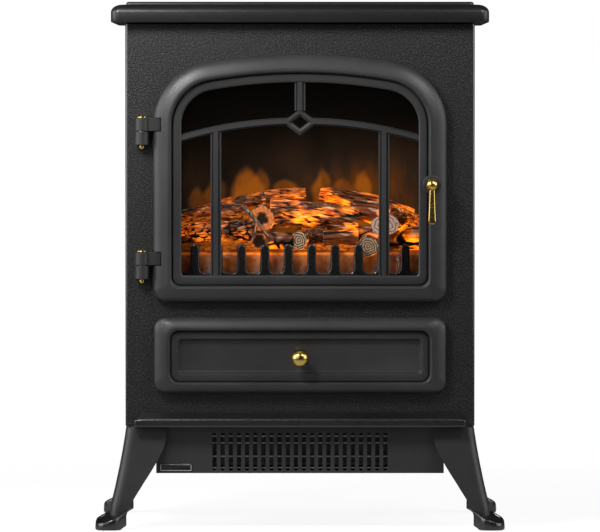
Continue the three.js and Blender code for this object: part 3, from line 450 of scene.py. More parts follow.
# Painted shade: a dark copy of the plated steel for the heater's insides and the flap brackets, which sit in
# shade.
SHADED_STEEL = metal("shaded_steel", (0.09, 0.085, 0.08), 0.5, brush=0.2)
GLASS = stove_glass("stove_glass")
LINER = soot_sheet("soot_sheet")
MOULDED = moulded_plastic("moulded_black", (0.022, 0.022, 0.022))
RED_KEY = moulded_plastic("red_key", (0.42, 0.02, 0.012), 0.22)
PALE_INK = moulded_plastic("pale_ink", (0.86, 0.86, 0.84), 0.5)
LABEL = moulded_plastic("label_black", (0.012, 0.012, 0.013), 0.35)

# ---- mesh helpers ----


def arc(cx, cy, radius, start, end, steps):
    """Points of an arc, angles in degrees."""
    angles = [math.radians(start + (end - start) * i / steps) for i in range(steps + 1)]
    return [(cx + radius * math.cos(a), cy + radius * math.sin(a)) for a in angles]


def rounded(u0, u1, v0, v1, radius, steps=8):
    """Rectangle with round corners."""
    return [
        *arc(u1 - radius, v0 + radius, radius, -90, 0, steps),
        *arc(u1 - radius, v1 - radius, radius, 0, 90, steps),
        *arc(u0 + radius, v1 - radius, radius, 90, 180, steps),
        *arc(u0 + radius, v0 + radius, radius, 180, 270, steps),
    ]


def front(outline, y):
    """An outline stood upright at a depth."""
    return [(x, y, z) for x, z in outline]


def plan(outline, z):
    """An outline laid flat at a height."""
    return [(x, y, z) for x, y in outline]


def rings_mesh(name, rings, looped=False, caps=True):
    """A skin over rings of points with equal counts."""
    count = len(rings[0])
    points = [Vector(p) * MM for ring in rings for p in ring]
    faces = []
    bands = len(rings) if looped else len(rings) - 1
    for i in range(bands):
        low, high = i * count, (i + 1) % len(rings) * count
        faces += [(low + j, low + (j + 1) % count, high + (j + 1) % count, high + j) for j in range(count)]
    if caps and not looped:
        faces.append(tuple(reversed(range(count))))
        faces.append(tuple(range(len(points) - count, len(points))))
    mesh = bpy.data.meshes.new(name)
    mesh.from_pydata(points, [], faces)
    return tidy(mesh)


def tidy(mesh):
    """Joins doubled points and turns every face outwards."""
    shape = bmesh.new()
    shape.from_mesh(mesh)
    bmesh.ops.remove_doubles(shape, verts=shape.verts, dist=1e-6)
    bmesh.ops.recalc_face_normals(shape, faces=shape.faces)
    shape.to_mesh(mesh)
    shape.free()
    return mesh


def grid_mesh(name, points, count, flipped=False):
    """An open sheet over columns of points, with count points in each."""
    faces = []
    for a in range(len(points) - count):
        if a % count < count - 1:
            face = (a, a + 1, a + count + 1, a + count)
            faces.append((a, *reversed(face[1:])) if flipped else face)
    mesh = bpy.data.meshes.new(name)
    mesh.from_pydata(points, [], faces)
    return mesh


def turned_mesh(name, profile, axis, a, b, steps=48):
    """A turned piece; profile is [(radius, distance along the axis)], starting and ending on it."""
    rings = []
    for radius, h in profile:
        ring = []
        for i in range(steps):
            u = radius * math.cos(TAU * i / steps)
            v = radius * math.sin(TAU * i / steps)
            ring.append({"x": (h, a + u, b + v), "y": (a + u, h, b + v), "z": (a + u, b + v, h)}[axis])
        rings.append(ring)
    return rings_mesh(name, rings)


def box_mesh(name, low, high):
    (x0, y0, z0), (x1, y1, z1) = low, high
    base = [(x0, y0), (x1, y0), (x1, y1), (x0, y1)]
    return rings_mesh(name, [plan(base, z0), plan(base, z1)])


def merged(name, meshes):
    """Several shapes in one mesh."""
    shape = bmesh.new()
    for mesh in meshes:
        shape.from_mesh(mesh)
    out = bpy.data.meshes.new(name)
    shape.to_mesh(out)
    shape.free()
    return out


def shaped(name, base, operation, *tools):
    """Boolean of closed meshes, applied."""
    obj = bpy.data.objects.new(name + "_work", base)
    helpers = [bpy.data.objects.new(name + "_tool", tool) for tool in tools]
    for item in [obj, *helpers]:
        bpy.context.scene.collection.objects.link(item)
    for helper in helpers:
        step = obj.modifiers.new("boolean", "BOOLEAN")
        step.operation = operation
        step.solver = "EXACT"
        step.object = helper
    bpy.context.view_layer.update()
    evaluated = obj.evaluated_get(bpy.context.evaluated_depsgraph_get())
    mesh = bpy.data.meshes.new_from_object(evaluated)
    mesh.name = name
    for item in [obj, *helpers]:
        bpy.data.objects.remove(item)
    return mesh


def soften(obj, width, segments=2, angle=35):
    """Rounds an object's hard edges."""
    bevel = obj.modifiers.new("soft_edges", "BEVEL")
    bevel.width = width * MM
    bevel.segments = segments
    bevel.limit_method = "ANGLE"
    bevel.angle_limit = math.radians(angle)
    bevel.harden_normals = True
    bevel.use_clamp_overlap = True


def piece(name, mesh, material, body, replaced=(), angle=38):
    """Puts a mesh into the scene as a finished piece on a CAD body."""
    mesh.polygons.foreach_set("use_smooth", [True] * len(mesh.polygons))
    mesh.set_sharp_from_angle(angle=math.radians(angle))
    obj = bpy.data.objects.new(name, mesh)
    bpy.context.scene.collection.objects.link(obj)
    for item in material if isinstance(material, list) else [material]:
        obj.data.materials.append(item)
    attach(obj, body)
    if replaced:
        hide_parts(*replaced)
    return obj


def keep_node(name, material, bevel=0.0):
    """A CAD node that stays: finished material, smooth round faces and soft edges."""
    obj = nodes[name]
    for place in obj.material_slots:
        place.link = "OBJECT"
        place.material = material
    obj.data.polygons.foreach_set("use_smooth", [True] * len(obj.data.polygons))
    obj.data.set_sharp_from_angle(angle=math.radians(28))
    if bevel:
        weld = obj.modifiers.new("weld", "WELD")
        weld.merge_threshold = 1e-6
        soften(obj, bevel)


def flowing(keys, steps):
    """Number lists in between the keys, on a smooth curve through them."""
    out = []
    for i in range(len(keys) - 1):
        before = keys[max(i - 1, 0)]
        after = keys[min(i + 2, len(keys) - 1)]
        for k in range(steps):
            t = k / steps
            weights = (
                -0.5 * t + t * t - 0.5 * t ** 3,
                1 - 2.5 * t * t + 1.5 * t ** 3,
                0.5 * t + 2 * t * t - 1.5 * t ** 3,
                -0.5 * t * t + 0.5 * t ** 3,
            )
            row = zip(before, keys[i], keys[i + 1], after)
            out.append(tuple(sum(w * v for w, v in zip(weights, values)) for values in row))
    out.append(tuple(keys[-1]))
    return out


# ---- CAD nodes that stay, with their material and the width of their soft edges ----

KEPT = [
    (WRINKLE, 0, ["left_side_panel", "right_side_panel", "back_panel", "base_plate"]),
    (MOULDED, 0.4, ["control_fascia", "switch_body_1", "switch_body_2", "switch_body_3", "rocker_1",
                    "thermostat_dial", "cable_gland", "door_magnet"]),
    (MOULDED, 0.2, ["spindle_bearing", "rotor_bearing", "led_strip"]),
    (RED_KEY, 0.4, ["rocker_2", "rocker_3"]),
    (STEEL, 0.3, ["handle_nut"]),
    (STEEL, 0.15, ["thermostat_body", "flame_spindle", "flame_motor"]),
    (STEEL, 0, ["guard_rack"]),
    (SHADED_STEEL, 0.15, ["heating_element", "blower_rotor", "blower_motor", "flap_bracket_left",
                        "flap_bracket_right"]),
    (LINER, 0.2, ["firebox_liner", "heater_housing"]),
    (GLASS, 0, ["door_glass"]),
    (LABEL, 0.15, ["label_plate"]),
]
for material, bevel, names in KEPT:
    for name in names:
        keep_node(name, material, bevel)

# ---- cabinet ----


def arch(inset, foot=None, corner=None):
    """The door's arched outline moved inwards."""
    foot = inset if foot is None else foot
    corner = max(14 - inset, 3) if corner is None else corner
    side = DOOR_HALF - inset
    floor = DOOR_LOW + foot
    lean = 90 - math.degrees(math.atan2(SHOULDER_X, SHOULDER_Z - CROWN_Z))
    shoulder = SHOULDER_RADIUS - inset
    return [
        *arc(side - corner, floor + corner, corner, -90, 0, 8),
        *arc(SHOULDER_X, SHOULDER_Z, shoulder, 0, lean, 20),
        *arc(0, CROWN_Z, CROWN_RADIUS - inset, lean, 180 - lean, 40)[1:-1],
        *arc(-SHOULDER_X, SHOULDER_Z, shoulder, 180 - lean, 180, 20),
        *arc(-side + corner, floor + corner, corner, 180, 270, 8),
    ]


def top_plate():
    """Hollow pressing with a rolled edge and a raised slab."""

    def ring(inset, z):
        corner = max(9 - inset * 0.35, 3)
        x, y = TOP_X - inset, TOP_Y - inset
        return plan(rounded(-x, x, -y, y, corner, 10), z)

    shoulder = HEIGHT - SLAB_RISE
    slab = [ring(SLAB_INSET + SLAB_EDGE * (1 - math.sin(math.radians(a))),
                 HEIGHT - SLAB_EDGE * (1 - math.cos(math.radians(a)))) for a in range(0, 91, 15)]
    roll = [ring(TOP_ROLL * (1 - math.cos(math.radians(a))),
                 shoulder - ROLL_DROP * (1 - math.sin(math.radians(a)))) for a in range(90, -1, -6)]
    underside = [ring(0, TOP_LOW + 1.2), ring(0.35, TOP_LOW + 0.35), ring(1.2, TOP_LOW), ring(20, TOP_LOW),
                 ring(20, TOP_LOW + SHEET), ring(SHEET, TOP_LOW + SHEET),
                 ring(SHEET, shoulder - ROLL_DROP - 2), ring(5, shoulder - 5),
                 ring(SLAB_INSET, shoulder - 2.6), ring(SLAB_INSET + 3, HEIGHT - 3.4)]
    seat = [ring(SLAB_INSET, shoulder), ring(SLAB_INSET - 1.2, shoulder)]
    return rings_mesh("top_plate", [ring(SLAB_INSET + 8, HEIGHT), *slab, *seat, *roll, *underside])


def front_panel():
    """Channel-folded sheet with the window and the control opening."""
    w, d, r = BODY_X, BODY_Y, BODY_EDGE
    channel = [
        (-w, FOLD - d), *arc(-w + r, -d + r, r, 180, 270, 10), *arc(w - r, -d + r, r, 270, 360, 10),
        (w, FOLD - d), (w - SHEET, FOLD - d), *arc(w - r, -d + r, r - SHEET, 360, 270, 6),
        *arc(-w + r, -d + r, r - SHEET, 270, 180, 6), (-w + SHEET, FOLD - d),
    ]
    panel = rings_mesh("panel", [plan(channel, z) for z in (BODY_LOW, BODY_HIGH)])
    through = (-d - 5, -d + 4)
    window = rings_mesh("window", [front(arch(WINDOW_INSET), y) for y in through])
    opening = rounded(-CONTROLS_X, CONTROLS_X, CONTROLS_LOW, CONTROLS_HIGH, 4)
    controls = rings_mesh("controls", [front(opening, y) for y in through])
    (x0, z0), (x1, z1) = MAGNET_HOLE
    magnet = box_mesh("magnet", (x0, through[0], z0), (x1, through[1], z1))
    mesh = shaped("front_panel", panel, "DIFFERENCE", window, controls, magnet)
    for face in mesh.polygons:
        on_bend = 0.1 < abs(face.normal.x) < 0.995
        face.material_index = 1 if on_bend and abs(face.center.x) > (w - r - 0.1) * MM else 0
    return mesh


def base_ledge():
    """A ledge with a sloped top and hipped ends under the control flap."""
    back = -BODY_Y - 0.3
    front_y, low, lip, crest = LEDGE_Y, LEDGE_LOW, LEDGE_LIP, LEDGE_CREST

    def end(x, top):
        return [(x, back, low), (x, front_y, low), (x, front_y, lip), (x, back, top)]

    ends = ((-LEDGE_X, lip), (-LEDGE_HIP_X, crest), (LEDGE_HIP_X, crest), (LEDGE_X, lip))
    return rings_mesh("base_ledge", [end(x, top) for x, top in ends])


def back_screws():
    """Slotted screws that hold the back panel to the side folds."""
    head = [(0, 108.45), (3.6, 108.45), (3.6, 108.6), (2.9, 109.9), (1.4, 110.3), (0, 110.35)]
    screws = []
    for x in (-SCREW_X, SCREW_X):
        for z in SCREW_LEVELS:
            slot = box_mesh("slot", (x - 2.2, 109.7, z - 0.35), (x + 2.2, 112, z + 0.35))
            screws.append(shaped("screw", turned_mesh("screw", head, "y", x, z, 24), "DIFFERENCE", slot))
    return merged("back_screws", screws)


soften(piece("top_plate", top_plate(), SHADED_BLACK, "cabinet", ["top_plate"], 30), 0.3)
piece("front_panel", front_panel(), [WRINKLE, SMOOTH], "cabinet", ["front_panel"], 30)
soften(piece("base_ledge", base_ledge(), LIP, "cabinet", ["base_ledge"], 12), 2.3, 5, 12)
piece("back_screws", back_screws(), STEEL, "cabinet")

# ---- legs ----


def leg_sheet():
    """Folded sheet that splays outwards and narrows towards the toe."""
    rings = []
    for z, splay, arm in flowing(LEG_LEVELS, 5):
        x, y, r, w = -LEG_X - splay, -LEG_Y - splay, LEG_BEND, LEG_WALL
        rings.append(plan([
            *arc(x + r, y + r, r, 180, 270, 12), (x + arm * 0.5, y), (x + arm, y), (x + arm, y + w),
            (x + arm * 0.5, y + w), *arc(x + r, y + r, r - w, 270, 180, 8), (x + w, y + arm * 0.5),
            (x + w, y + arm), (x, y + arm), (x, y + arm * 0.5),
        ], z))
    return rings_mesh("leg_sheet", rings)


def toe():
    """Cast toe with a rolled shiny rim; its outline is drawn along the diagonal."""
    half = flowing(TOE_OUTLINE, 4)
    outline = [*half, *[(u, -v) for u, v in reversed(half[1:])]]

    def ring(scale, height, heel=-math.inf):
        out = []
        for u, v in outline:
            along = u * scale if u > 0 else max(u, heel)
            across = v * scale
            x = -TOE_X - (along - across) / math.sqrt(2)
            y = -TOE_Y - (along + across) / math.sqrt(2)
            out.append((x, y, height(u)))
        return out

    def rim(drop):
        return lambda u: TOE_RIM - TOE_FALL * u - drop

    return rings_mesh("toe", [
        ring(0.92, lambda u: 0, -3),
        ring(0.97, lambda u: 0.5 if u > 0 else 0.5 - 0.3 * u),
        ring(1.0, lambda u: 2 if u > 0 else 2 - 0.3 * u),
        ring(0.985, rim(3.4)), ring(0.965, rim(1.5)), ring(0.93, rim(0.4)), ring(0.88, rim(0.0)),
        ring(0.84, rim(0.3)), ring(0.80, rim(1.6)), ring(0.5, rim(2.0)),
    ])


def legs():
    """The front left leg, mirrored to the other corners."""
    plate = [(-LEG_X + 3, -LEG_Y + 1), (-150, -LEG_Y + 1), (-LEG_X + 1, -79)]
    bracket = rings_mesh("bracket", [plan(plate, z) for z in (103.2, 105.2)])
    shoe = toe()
    shoe.polygons.foreach_set("material_index", [1] * len(shoe.polygons))
    front_left = merged("leg", [leg_sheet(), bracket, shoe])
    corners = {"front_left": (1, 1), "front_right": (-1, 1), "rear_left": (1, -1), "rear_right": (-1, -1)}
    for name, (x, y) in corners.items():
        mesh = front_left.copy()
        mesh.transform(Matrix.Diagonal((x, y, 1, 1)))
        if x * y < 0:
            mesh.flip_normals()
        leg = piece("leg_" + name, mesh, [SATIN, SMOOTH], "cabinet", ["leg_" + name], 50)
        soften(leg, 0.5, 2, 50)


legs()

# ---- door ----


def door_frame():
    """Half-round outer bead, groove, flat step and glazed opening, with pockets for the hinge straps."""
    # inset from the outline, inset at the foot, corner radius and depth
    bead = flowing([(0, 0, 14, -114.6), (0.7, 0.7, 13.6, -116.6), (2.6, 2.5, 12, -118.7),
                    (5.6, 5, 10, -120.7), (9.5, 8.2, 9, -122.4), (13.0, 11.2, 9, -123.5),
                    (15.4, 13.3, 9, -123.9), (17.4, 15, 9, -123.4), (18.6, 16.2, 9, -121),
                    (19.1, 16.7, 9, -116.4)], 3)
    section = [(0, 0, 14, DOOR_BACK), (0, 0, 14, -112.5), *bead,
               (19.6, 17.3, 8.4, -116.3), (20.2, 17.9, 8, -118.2), (20.6, 18.4, 8, -118.4),
               (26.6, 24.8, 4, -118.4), (27.4, 25.7, 4, -118.2),
               (28.5, 27, 3, -117.2), (28.5, 27, 3, -112.8), (24, 23, 3, -112.8), (24, 23, 3, DOOR_BACK)]
    frame = rings_mesh("frame", [front(arch(inset, foot, corner), y) for inset, foot, corner, y in section],
                       looped=True)
    pockets = []
    for level in HINGE_LEVELS.values():
        high = (HINGE_REACH + 0.5, -114.7, level + HINGE_HEIGHT + 0.5)
        pockets.append(box_mesh("pocket", (HINGE_X, -126, level - 0.5), high))
    bore = turned_mesh("bore", [(0, -127), (5.6, -127), (5.6, -108), (0, -108)], "y", HANDLE_X, HANDLE_Z, 32)
    return shaped("door_frame", frame, "DIFFERENCE", *pockets, bore)


def bar_section(half, back=-113.1, flange=-115.2, ridge=-117):
    """Half width and depth round a glazing bar: a flange on each side of a raised ridge."""
    crest = 2.5
    ledge = half - crest
    right = [(half, back), (half, flange + 0.2), (half - ledge * 0.12, flange), (half - ledge * 0.6, flange),
             (crest + ledge * 0.2, flange + 1.3), (crest, flange + 1.2), (crest, ridge + 0.45),
             (crest - 0.4, ridge)]
    return [*right, *[(-u, y) for u, y in reversed(right)]]


def bar_mesh(path, half):
    """A glazing bar along a path in the front plane."""
    points = [Vector((x, 0, z)) for x, z in path]
    count = len(points)
    rings = []
    for i, point in enumerate(points):
        into = point - points[i - 1] if i else points[1] - point
        out = points[i + 1] - point if i < count - 1 else into
        into, out = into.normalized(), out.normalized()
        ahead = (into + out).normalized()
        side = Vector((ahead.z, 0, -ahead.x))
        reach = 1 / max(side.dot(Vector((out.z, 0, -out.x))), 0.4)
        rings.append([tuple(point + side * u * reach + Vector((0, y, 0))) for u, y in bar_section(half)])
    return rings_mesh("bar", rings)


def door_lattice():
    """Arched bar, centre bar and two stems, with a pierced diamond where they meet."""
    radius, apex, stem_x = ARCH_RADIUS, ARCH_TOP, STEM_X
    arch_bar = arc(0, apex - radius, radius, 90 - ARCH_SPAN, 90 + ARCH_SPAN, 60)
    stem_top = apex - radius + math.sqrt(radius ** 2 - stem_x ** 2)
    middle, slope = DIAMOND_Z, DIAMOND_SLOPE

    def diamond(half, y):
        rise = half * slope
        return front([(half, middle), (0, middle + rise), (-half, middle), (0, middle - rise)], y)

    ring = rings_mesh("ring", [diamond(half, y) for half, y in (
        (18.4, -113.1), (18.4, -114.9), (18, -115.2), (16.2, -115.2), (15.8, -116.6), (15.3, -117),
        (12.6, -117), (12.1, -116.7), (11.2, -115.4), (8.6, -114), (8.6, -113.1))], looped=True)
    hole = rings_mesh("hole", [diamond(half, y) for half, y in (
        (12.9, -119), (12.1, -116.7), (11.2, -115.4), (8.6, -114), (8.6, -111))])
    bars = [
        bar_mesh(arch_bar, 3.7),
        bar_mesh([(0, middle + 12), (0, 440), (0, 457.6)], 5.4),
        *[bar_mesh([(x, 259), (x, 330), (x, stem_top)], 5.4) for x in (stem_x, -stem_x)],
    ]
    body = shaped("bars", bars[0], "UNION", *bars[1:])
    return shaped("door_lattice", shaped("pierced", body, "DIFFERENCE", hole), "UNION", ring)


def hinge_knuckle(low, top):
    """Barrel of a hinge with chamfered ends."""
    profile = [(0, low), (KNUCKLE - 0.6, low), (KNUCKLE, low + 0.6), (KNUCKLE, top - 0.6),
               (KNUCKLE - 0.6, top), (0, top)]
    return turned_mesh("knuckle", profile, "z", HINGE_X, HINGE_Y)


def hinge_strap(level):
    """Knuckle and the strap let into the door bead."""
    top = level + HINGE_HEIGHT
    ring = rounded(HINGE_X + 2, HINGE_REACH, -118.6, -115, 0.8, 4)
    inner = rounded(HINGE_X + 2.4, HINGE_REACH - 0.4, -118.2, -115.4, 0.5, 4)
    strap = rings_mesh("strap", [plan(inner, level), plan(ring, level + 0.5), plan(ring, top - 0.5),
                                 plan(inner, top)])
    return shaped("strap", hinge_knuckle(level, top), "UNION", strap)


def hinge_bracket(level):
    """Lower knuckle and its root on the front panel."""
    top, bottom = level - 0.5, level - HINGE_HEIGHT - 0.8
    root = box_mesh("root", (HINGE_X - 6, HINGE_Y + 3, bottom), (HINGE_X + 6, -BODY_Y - GAP, top))
    return shaped("bracket", hinge_knuckle(bottom, top), "UNION", root)


def hinge_pin(level):
    """Brass pin with a flat cap above and a ball below."""
    foot, crown = level - 1 - HINGE_HEIGHT, level + HINGE_HEIGHT + GAP
    ball = [(2.8 * math.sin(math.radians(a)), foot - 2 - 2.6 * math.cos(math.radians(a)))
            for a in range(0, 121, 12)]
    cap = [(5.4 * math.cos(math.radians(a)), crown + 0.8 + 1.1 * math.sin(math.radians(a)))
           for a in range(0, 91, 9)]
    profile = [*ball, (2.1, foot - 0.3), (3, foot + 0.2), (3, crown), (4.9, crown), (5.4, crown + 0.4), *cap]
    return turned_mesh("pin", profile, "z", HINGE_X, HINGE_Y, 48)


def ball_profile(radius, centre, end, step):
    """Outline of a ball whose stem leaves it at the end angle."""
    angles = [math.radians(a) for a in range(0, end, step)]
    return [(radius * math.sin(a), centre - radius * math.cos(a)) for a in angles]


def door_handle():
    """Ball on its stem with the drop lever below."""
    sphere = ball_profile(HANDLE_BALL, HANDLE_Y, 148, 7)
    stem = [(3.0, -125.6), (3.4, -124.9), (3.4, -124.2), (2, -123.8), (2, -110.4), (0, -110.4)]
    knob = turned_mesh("knob", [*sphere, *stem], "y", HANDLE_X, HANDLE_Z, 64)
    # height, width and thickness down the lever
    keys = [(353, 5.4, 3.9), (345, 5.7, 4), (330, 6.6, 4), (320, 7.5, 3.9), (316, 7.9, 3.8), (314, 7.2, 3.5),
            (312.8, 5, 2.9), (312.4, 2.4, 1.6)]
    rings = []
    for z, width, depth in flowing(keys, 4):
        outline = rounded(-width / 2, width / 2, -depth / 2, depth / 2, min(width, depth) * 0.42, 6)
        rings.append([(HANDLE_X + u, HANDLE_Y + v, z) for u, v in outline])
    return merged("door_handle", [knob, rings_mesh("lever", rings)])


piece("door_frame", door_frame(), SATIN, "door", ["door_frame"], 24)
soften(piece("door_lattice", door_lattice(), SATIN, "door", ["door_lattice"], 24), 0.25)
rose = [(0, -114), (9.7, -114), (9.7, -124.2), (9.4, -124.9), (8.7, -125.2), (6.6, -125.2), (6.3, -124.8),
        (5.2, -124.7), (0, -124.7)]
rose_mesh = turned_mesh("handle_rose", rose, "y", HANDLE_X, HANDLE_Z, 64)
piece("handle_rose", rose_mesh, SATIN, "door")
piece("door_handle", door_handle(), BRASS, "handle", ["door_handle"], 40)
for name, level in HINGE_LEVELS.items():
    leaf, bracket, pin = (f"{name}_hinge_{part}" for part in ("leaf", "bracket", "pin"))
    soften(piece(leaf, hinge_strap(level), SATIN, "door", [leaf], 30), 0.25)
    soften(piece(bracket, hinge_bracket(level), SATIN, "cabinet", [bracket], 30), 0.25)
    piece(pin, hinge_pin(level), BRASS, "cabinet", [pin], 50)

# ---- control flap and the controls behind it ----


def control_flap():
    """Beaded flap with a stepped recess, and pockets at the back for its brackets."""
    # half width, lower edge, upper edge, corner radius and depth
    bead = flowing([(132.4, 151, 202.9, 9, -116.4), (132.8, 150.6, 203.3, 9.2, -119.6),
                    (133.8, 149.7, 204.2, 10, -122), (135.6, 148.4, 205.6, 10.5, -122.7),
                    (138, 146.7, 207.6, 11, -122.3), (141.4, 144.6, 210.4, 12, -121.1),
                    (145, 142.3, 213.3, 12, -119.2), (147.9, 140.6, 215.5, 12, -117),
                    (149.2, 139.9, 216.5, 12, -115.2), (149.5, 139.8, 216.7, 12, -113.4)], 3)
    section = [(121.5, 162.2, 191.7, 2, -113.2), (122.4, 161.3, 192.6, 2.6, -113.6),
               (123.4, 160.3, 193.6, 3, -115), (124.4, 159.3, 194.6, 3.6, -117.2),
               (125.1, 158.6, 195.3, 4, -117.9), (125.9, 157.8, 196.1, 4.6, -118.1),
               (130.6, 152.8, 201.1, 8, -118.1), (131.5, 151.9, 202, 8.4, -117.8),
               (131.9, 151.5, 202.4, 8.8, -116.3),
               *bead, (149.5, 139.8, 216.7, 12, -111.4), (148.2, 141.2, 215.4, 11, DOOR_BACK),
               (141, 151, 209.5, 6, DOOR_BACK), (140.4, 151.6, 208.9, 6, -110.9)]
    rings = [front(rounded(-half, half, low, high, corner, 10), y) for half, low, high, corner, y in section]
    skin = rings_mesh("skin", rings)
    pockets = [box_mesh("pocket", (x - 3.5, -117.2, 119), (x + 3.5, -108, 146.6)) for x in (-100, 100)]
    return shaped("control_flap", skin, "DIFFERENCE", *pockets)


def flap_knob():
    """Ball on a waisted stem."""
    sphere = ball_profile(KNOB_BALL, KNOB_Y, 151, 6)
    profile = [*sphere, (4.1, -122.6), (3.9, -121), (4.4, -119.4), (5.2, -118.6), (5.2, -113.6), (0, -113.6)]
    return turned_mesh("flap_knob", profile, "y", 0, KNOB_Z, 64)


piece("control_flap", control_flap(), SATIN, "flap", ["control_flap"], 24)
piece("flap_knob", flap_knob(), BRASS, "flap", ["flap_knob"], 50)
washer = [(0, -113.5), (8, -113.5), (8, -114.6), (7.4, -115.3), (5.4, -115.6), (0, -115.6)]
piece("knob_washer", turned_mesh("knob_washer", washer, "y", 0, KNOB_Z, 48), MOULDED, "flap")

# ---- heater outlet ----


def outlet_grille():
    """Panel with a row of round-ended slots."""
    half = SLOT_HALF
    slots = []
    for i in range(SLOT_COUNT):
        x = (i - (SLOT_COUNT - 1) / 2) * SLOT_PITCH
        outline = [*arc(x, SLOT_TOP - half, half, 0, 180, 10), *arc(x, SLOT_FOOT + half, half, 180, 360, 10)]
        slots.append(rings_mesh("slot", [front(outline, y) for y in (-107, -101)]))
    plate = box_mesh("plate", (-GRILLE_X, -105, GRILLE_LOW), (GRILLE_X, -103.5, GRILLE_HIGH))
    return shaped("outlet_grille", plate, "DIFFERENCE", merged("slots", slots))


def label_border():
    """Raised pale frame of the blank rating plate."""
    x0, x1, z0, z1 = LABEL_EDGES
    rings = [front(rounded(x0 + s, x1 - s, z0 + s, z1 - s, 0.5, 3), y)
             for s, y in ((0, -105.9), (0, -106), (0.45, -106), (0.45, -105.9))]
    return rings_mesh("label_border", rings, looped=True)


soften(piece("outlet_grille", outlet_grille(), SATIN, "cabinet", ["outlet_grille"], 30), 0.2)
piece("label_border", label_border(), PALE_INK, "cabinet")

# ---- firebox ----


def lerp(a, b, t):
    return a + (b - a) * t


def smoothstep(low, high, value):
    t = min(max((value - low) / (high - low), 0), 1)
    return t * t * (3 - 2 * t)


def store(mesh, name, values):
    """A number for each vertex, read by the material."""
    attribute = mesh.attributes.new(name, "FLOAT", "POINT")
    attribute.data.foreach_set("value", values)


def ember_bed():
    """Moulded skin of coals: lumps on the top, drips down the front skirt, brightest under the lip."""
    section = flowing(BED_SECTION, 7)
    columns = 420
    points, shine = [], []
    for i in range(columns + 1):
        x = lerp(-BED_HALF + 0.2, BED_HALF - 0.2, i / columns)
        for y, z in section:
            top = smoothstep(281, 286, z)
            lump = noise.noise(Vector((x / 9, y / 9, z / 9)))
            fine = noise.noise(Vector((x / 3.2, y / 3.2, z / 3.2)))
            rise = (lump * 1.6 + fine * 0.6 - 1.0) * top * smoothstep(-76, -70, y)
            skirt = (1 - top) * smoothstep(249, 256, z)
            drip = noise.noise(Vector((x / 6, 0.4, z / 22)))
            points.append(Vector((x, y + skirt * (0.9 + 0.9 * drip), z + rise)) * MM)
            glow = noise.noise(Vector((x / 24, 3.1, z / 30))) * 0.5 + 0.75
            lip = 1.2 * math.exp(-((z - 281.2) / 1.3) ** 2)
            seam = 1 - math.exp(-((z - 284.4) / 1.0) ** 2)
            skirt_glow = 0.04 + 0.30 * smoothstep(254, 281, z) ** 1.6
            on_top = 1.1 * top * smoothstep(-0.6, 0.3, fine)
            ends = 1 - 0.75 * smoothstep(70, 118, abs(x))
            shine.append(max(glow, 0.15) * ends * seam * ((lip + skirt_glow) * (1 - top) + on_top))
    mesh = grid_mesh("ember_bed", points, len(section))
    store(mesh, "shine", shine)
    return mesh


def grate_fret():
    """Round-headed prongs with flared feet on a low rail."""
    half, root, crown = PRONG_HALF, PRONG_ROOT, PRONG_CROWN

    def flare(u):
        """Height of a foot's curve at a distance from the prong's middle."""
        return root + 8 * (1 - math.sqrt(max(1 - ((u - half) / 3.6 - 1) ** 2, 0)))

    outline = [(-FRET_X, FRET_LOW), (FRET_X, FRET_LOW), (FRET_X, root)]
    for i in reversed(range(PRONG_COUNT)):
        x = (i - (PRONG_COUNT - 1) / 2) * PRONG_PITCH
        foot = [(u, flare(u)) for u in (8.1, 7.2, 6.3, 5.5, 4.9)]
        outline += [(x + u, z) for u, z in foot]
        outline += arc(x, crown, half, 0, 180, 18)
        outline += [(x - u, z) for u, z in reversed(foot)]
    outline.append((-FRET_X, root))
    return rings_mesh("grate_fret", [front(outline, y) for y in (-95, -89.5)])


piece("ember_bed", ember_bed(), ember_skin("ember_skin"), "cabinet", ["ember_bed"], 180)
soften(piece("grate_fret", grate_fret(), CAST, "cabinet", ["grate_fret"], 28), 2.1, 5, 40)

# material, depth of the cracks, brightness, plate length and width, share of long cracks
COATS = {
    "pale": (bark("bark_pale", 1.8, (0.20, 0.08, 0.03), 3), 0.14, 0.75, 12, 3.2, 0.7),
    "char": (bark("bark_char", 3.2, (0.24, 0.10, 0.05), 7), 0.12, 1.0, 16, 3.8, 0.6),
    "dark": (bark("bark_dark", 1.0, (0.08, 0.050, 0.034), 11), 0.18, 0.5, 8, 2.6, 0.6),
    "scaly": (bark("bark_scaly", 1.8, (0.24, 0.10, 0.05), 17), 0.14, 0.75, 9, 5.0, 0.1),
    "warm": (bark("bark_warm", 3.2, (0.30, 0.09, 0.02), 23), 0.10, 0.95, 14, 3.6, 0.8),
    "crumb": (bark("bark_crumb", 2.4, (0.22, 0.07, 0.02), 37), 0.15, 0.8, 3.6, 2.6, 0.3),
    "smooth": (bark("bark_smooth", 3.4, (0.28, 0.10, 0.04), 41), 0.04, 1.0, 30, 14, 0.3),
    "split": (bark("bark_split", 3.8, (0.25, 0.07, 0.02), 29), 0.09, 1.1, 34, 5, 0.9),
    "twig": (bark("bark_twig", 0.6, (0.50, 0.34, 0.24), 31), 0.08, 0.6, 8, 1.6, 0.5),
}
END_GRAIN = cut_wood("end_grain", (0.60, 0.42, 0.27), (0.02, 0.008, 0.004), 0.10, 2600)
PALE_GRAIN = cut_wood("end_grain_pale", (0.62, 0.46, 0.38), (0.30, 0.19, 0.15), 0.16, 1500)
KNOT_END = burnt_end("knot_end", 5.0, 0.8)
STUMP_END = burnt_end("stump_end", 5.5, 0.7)


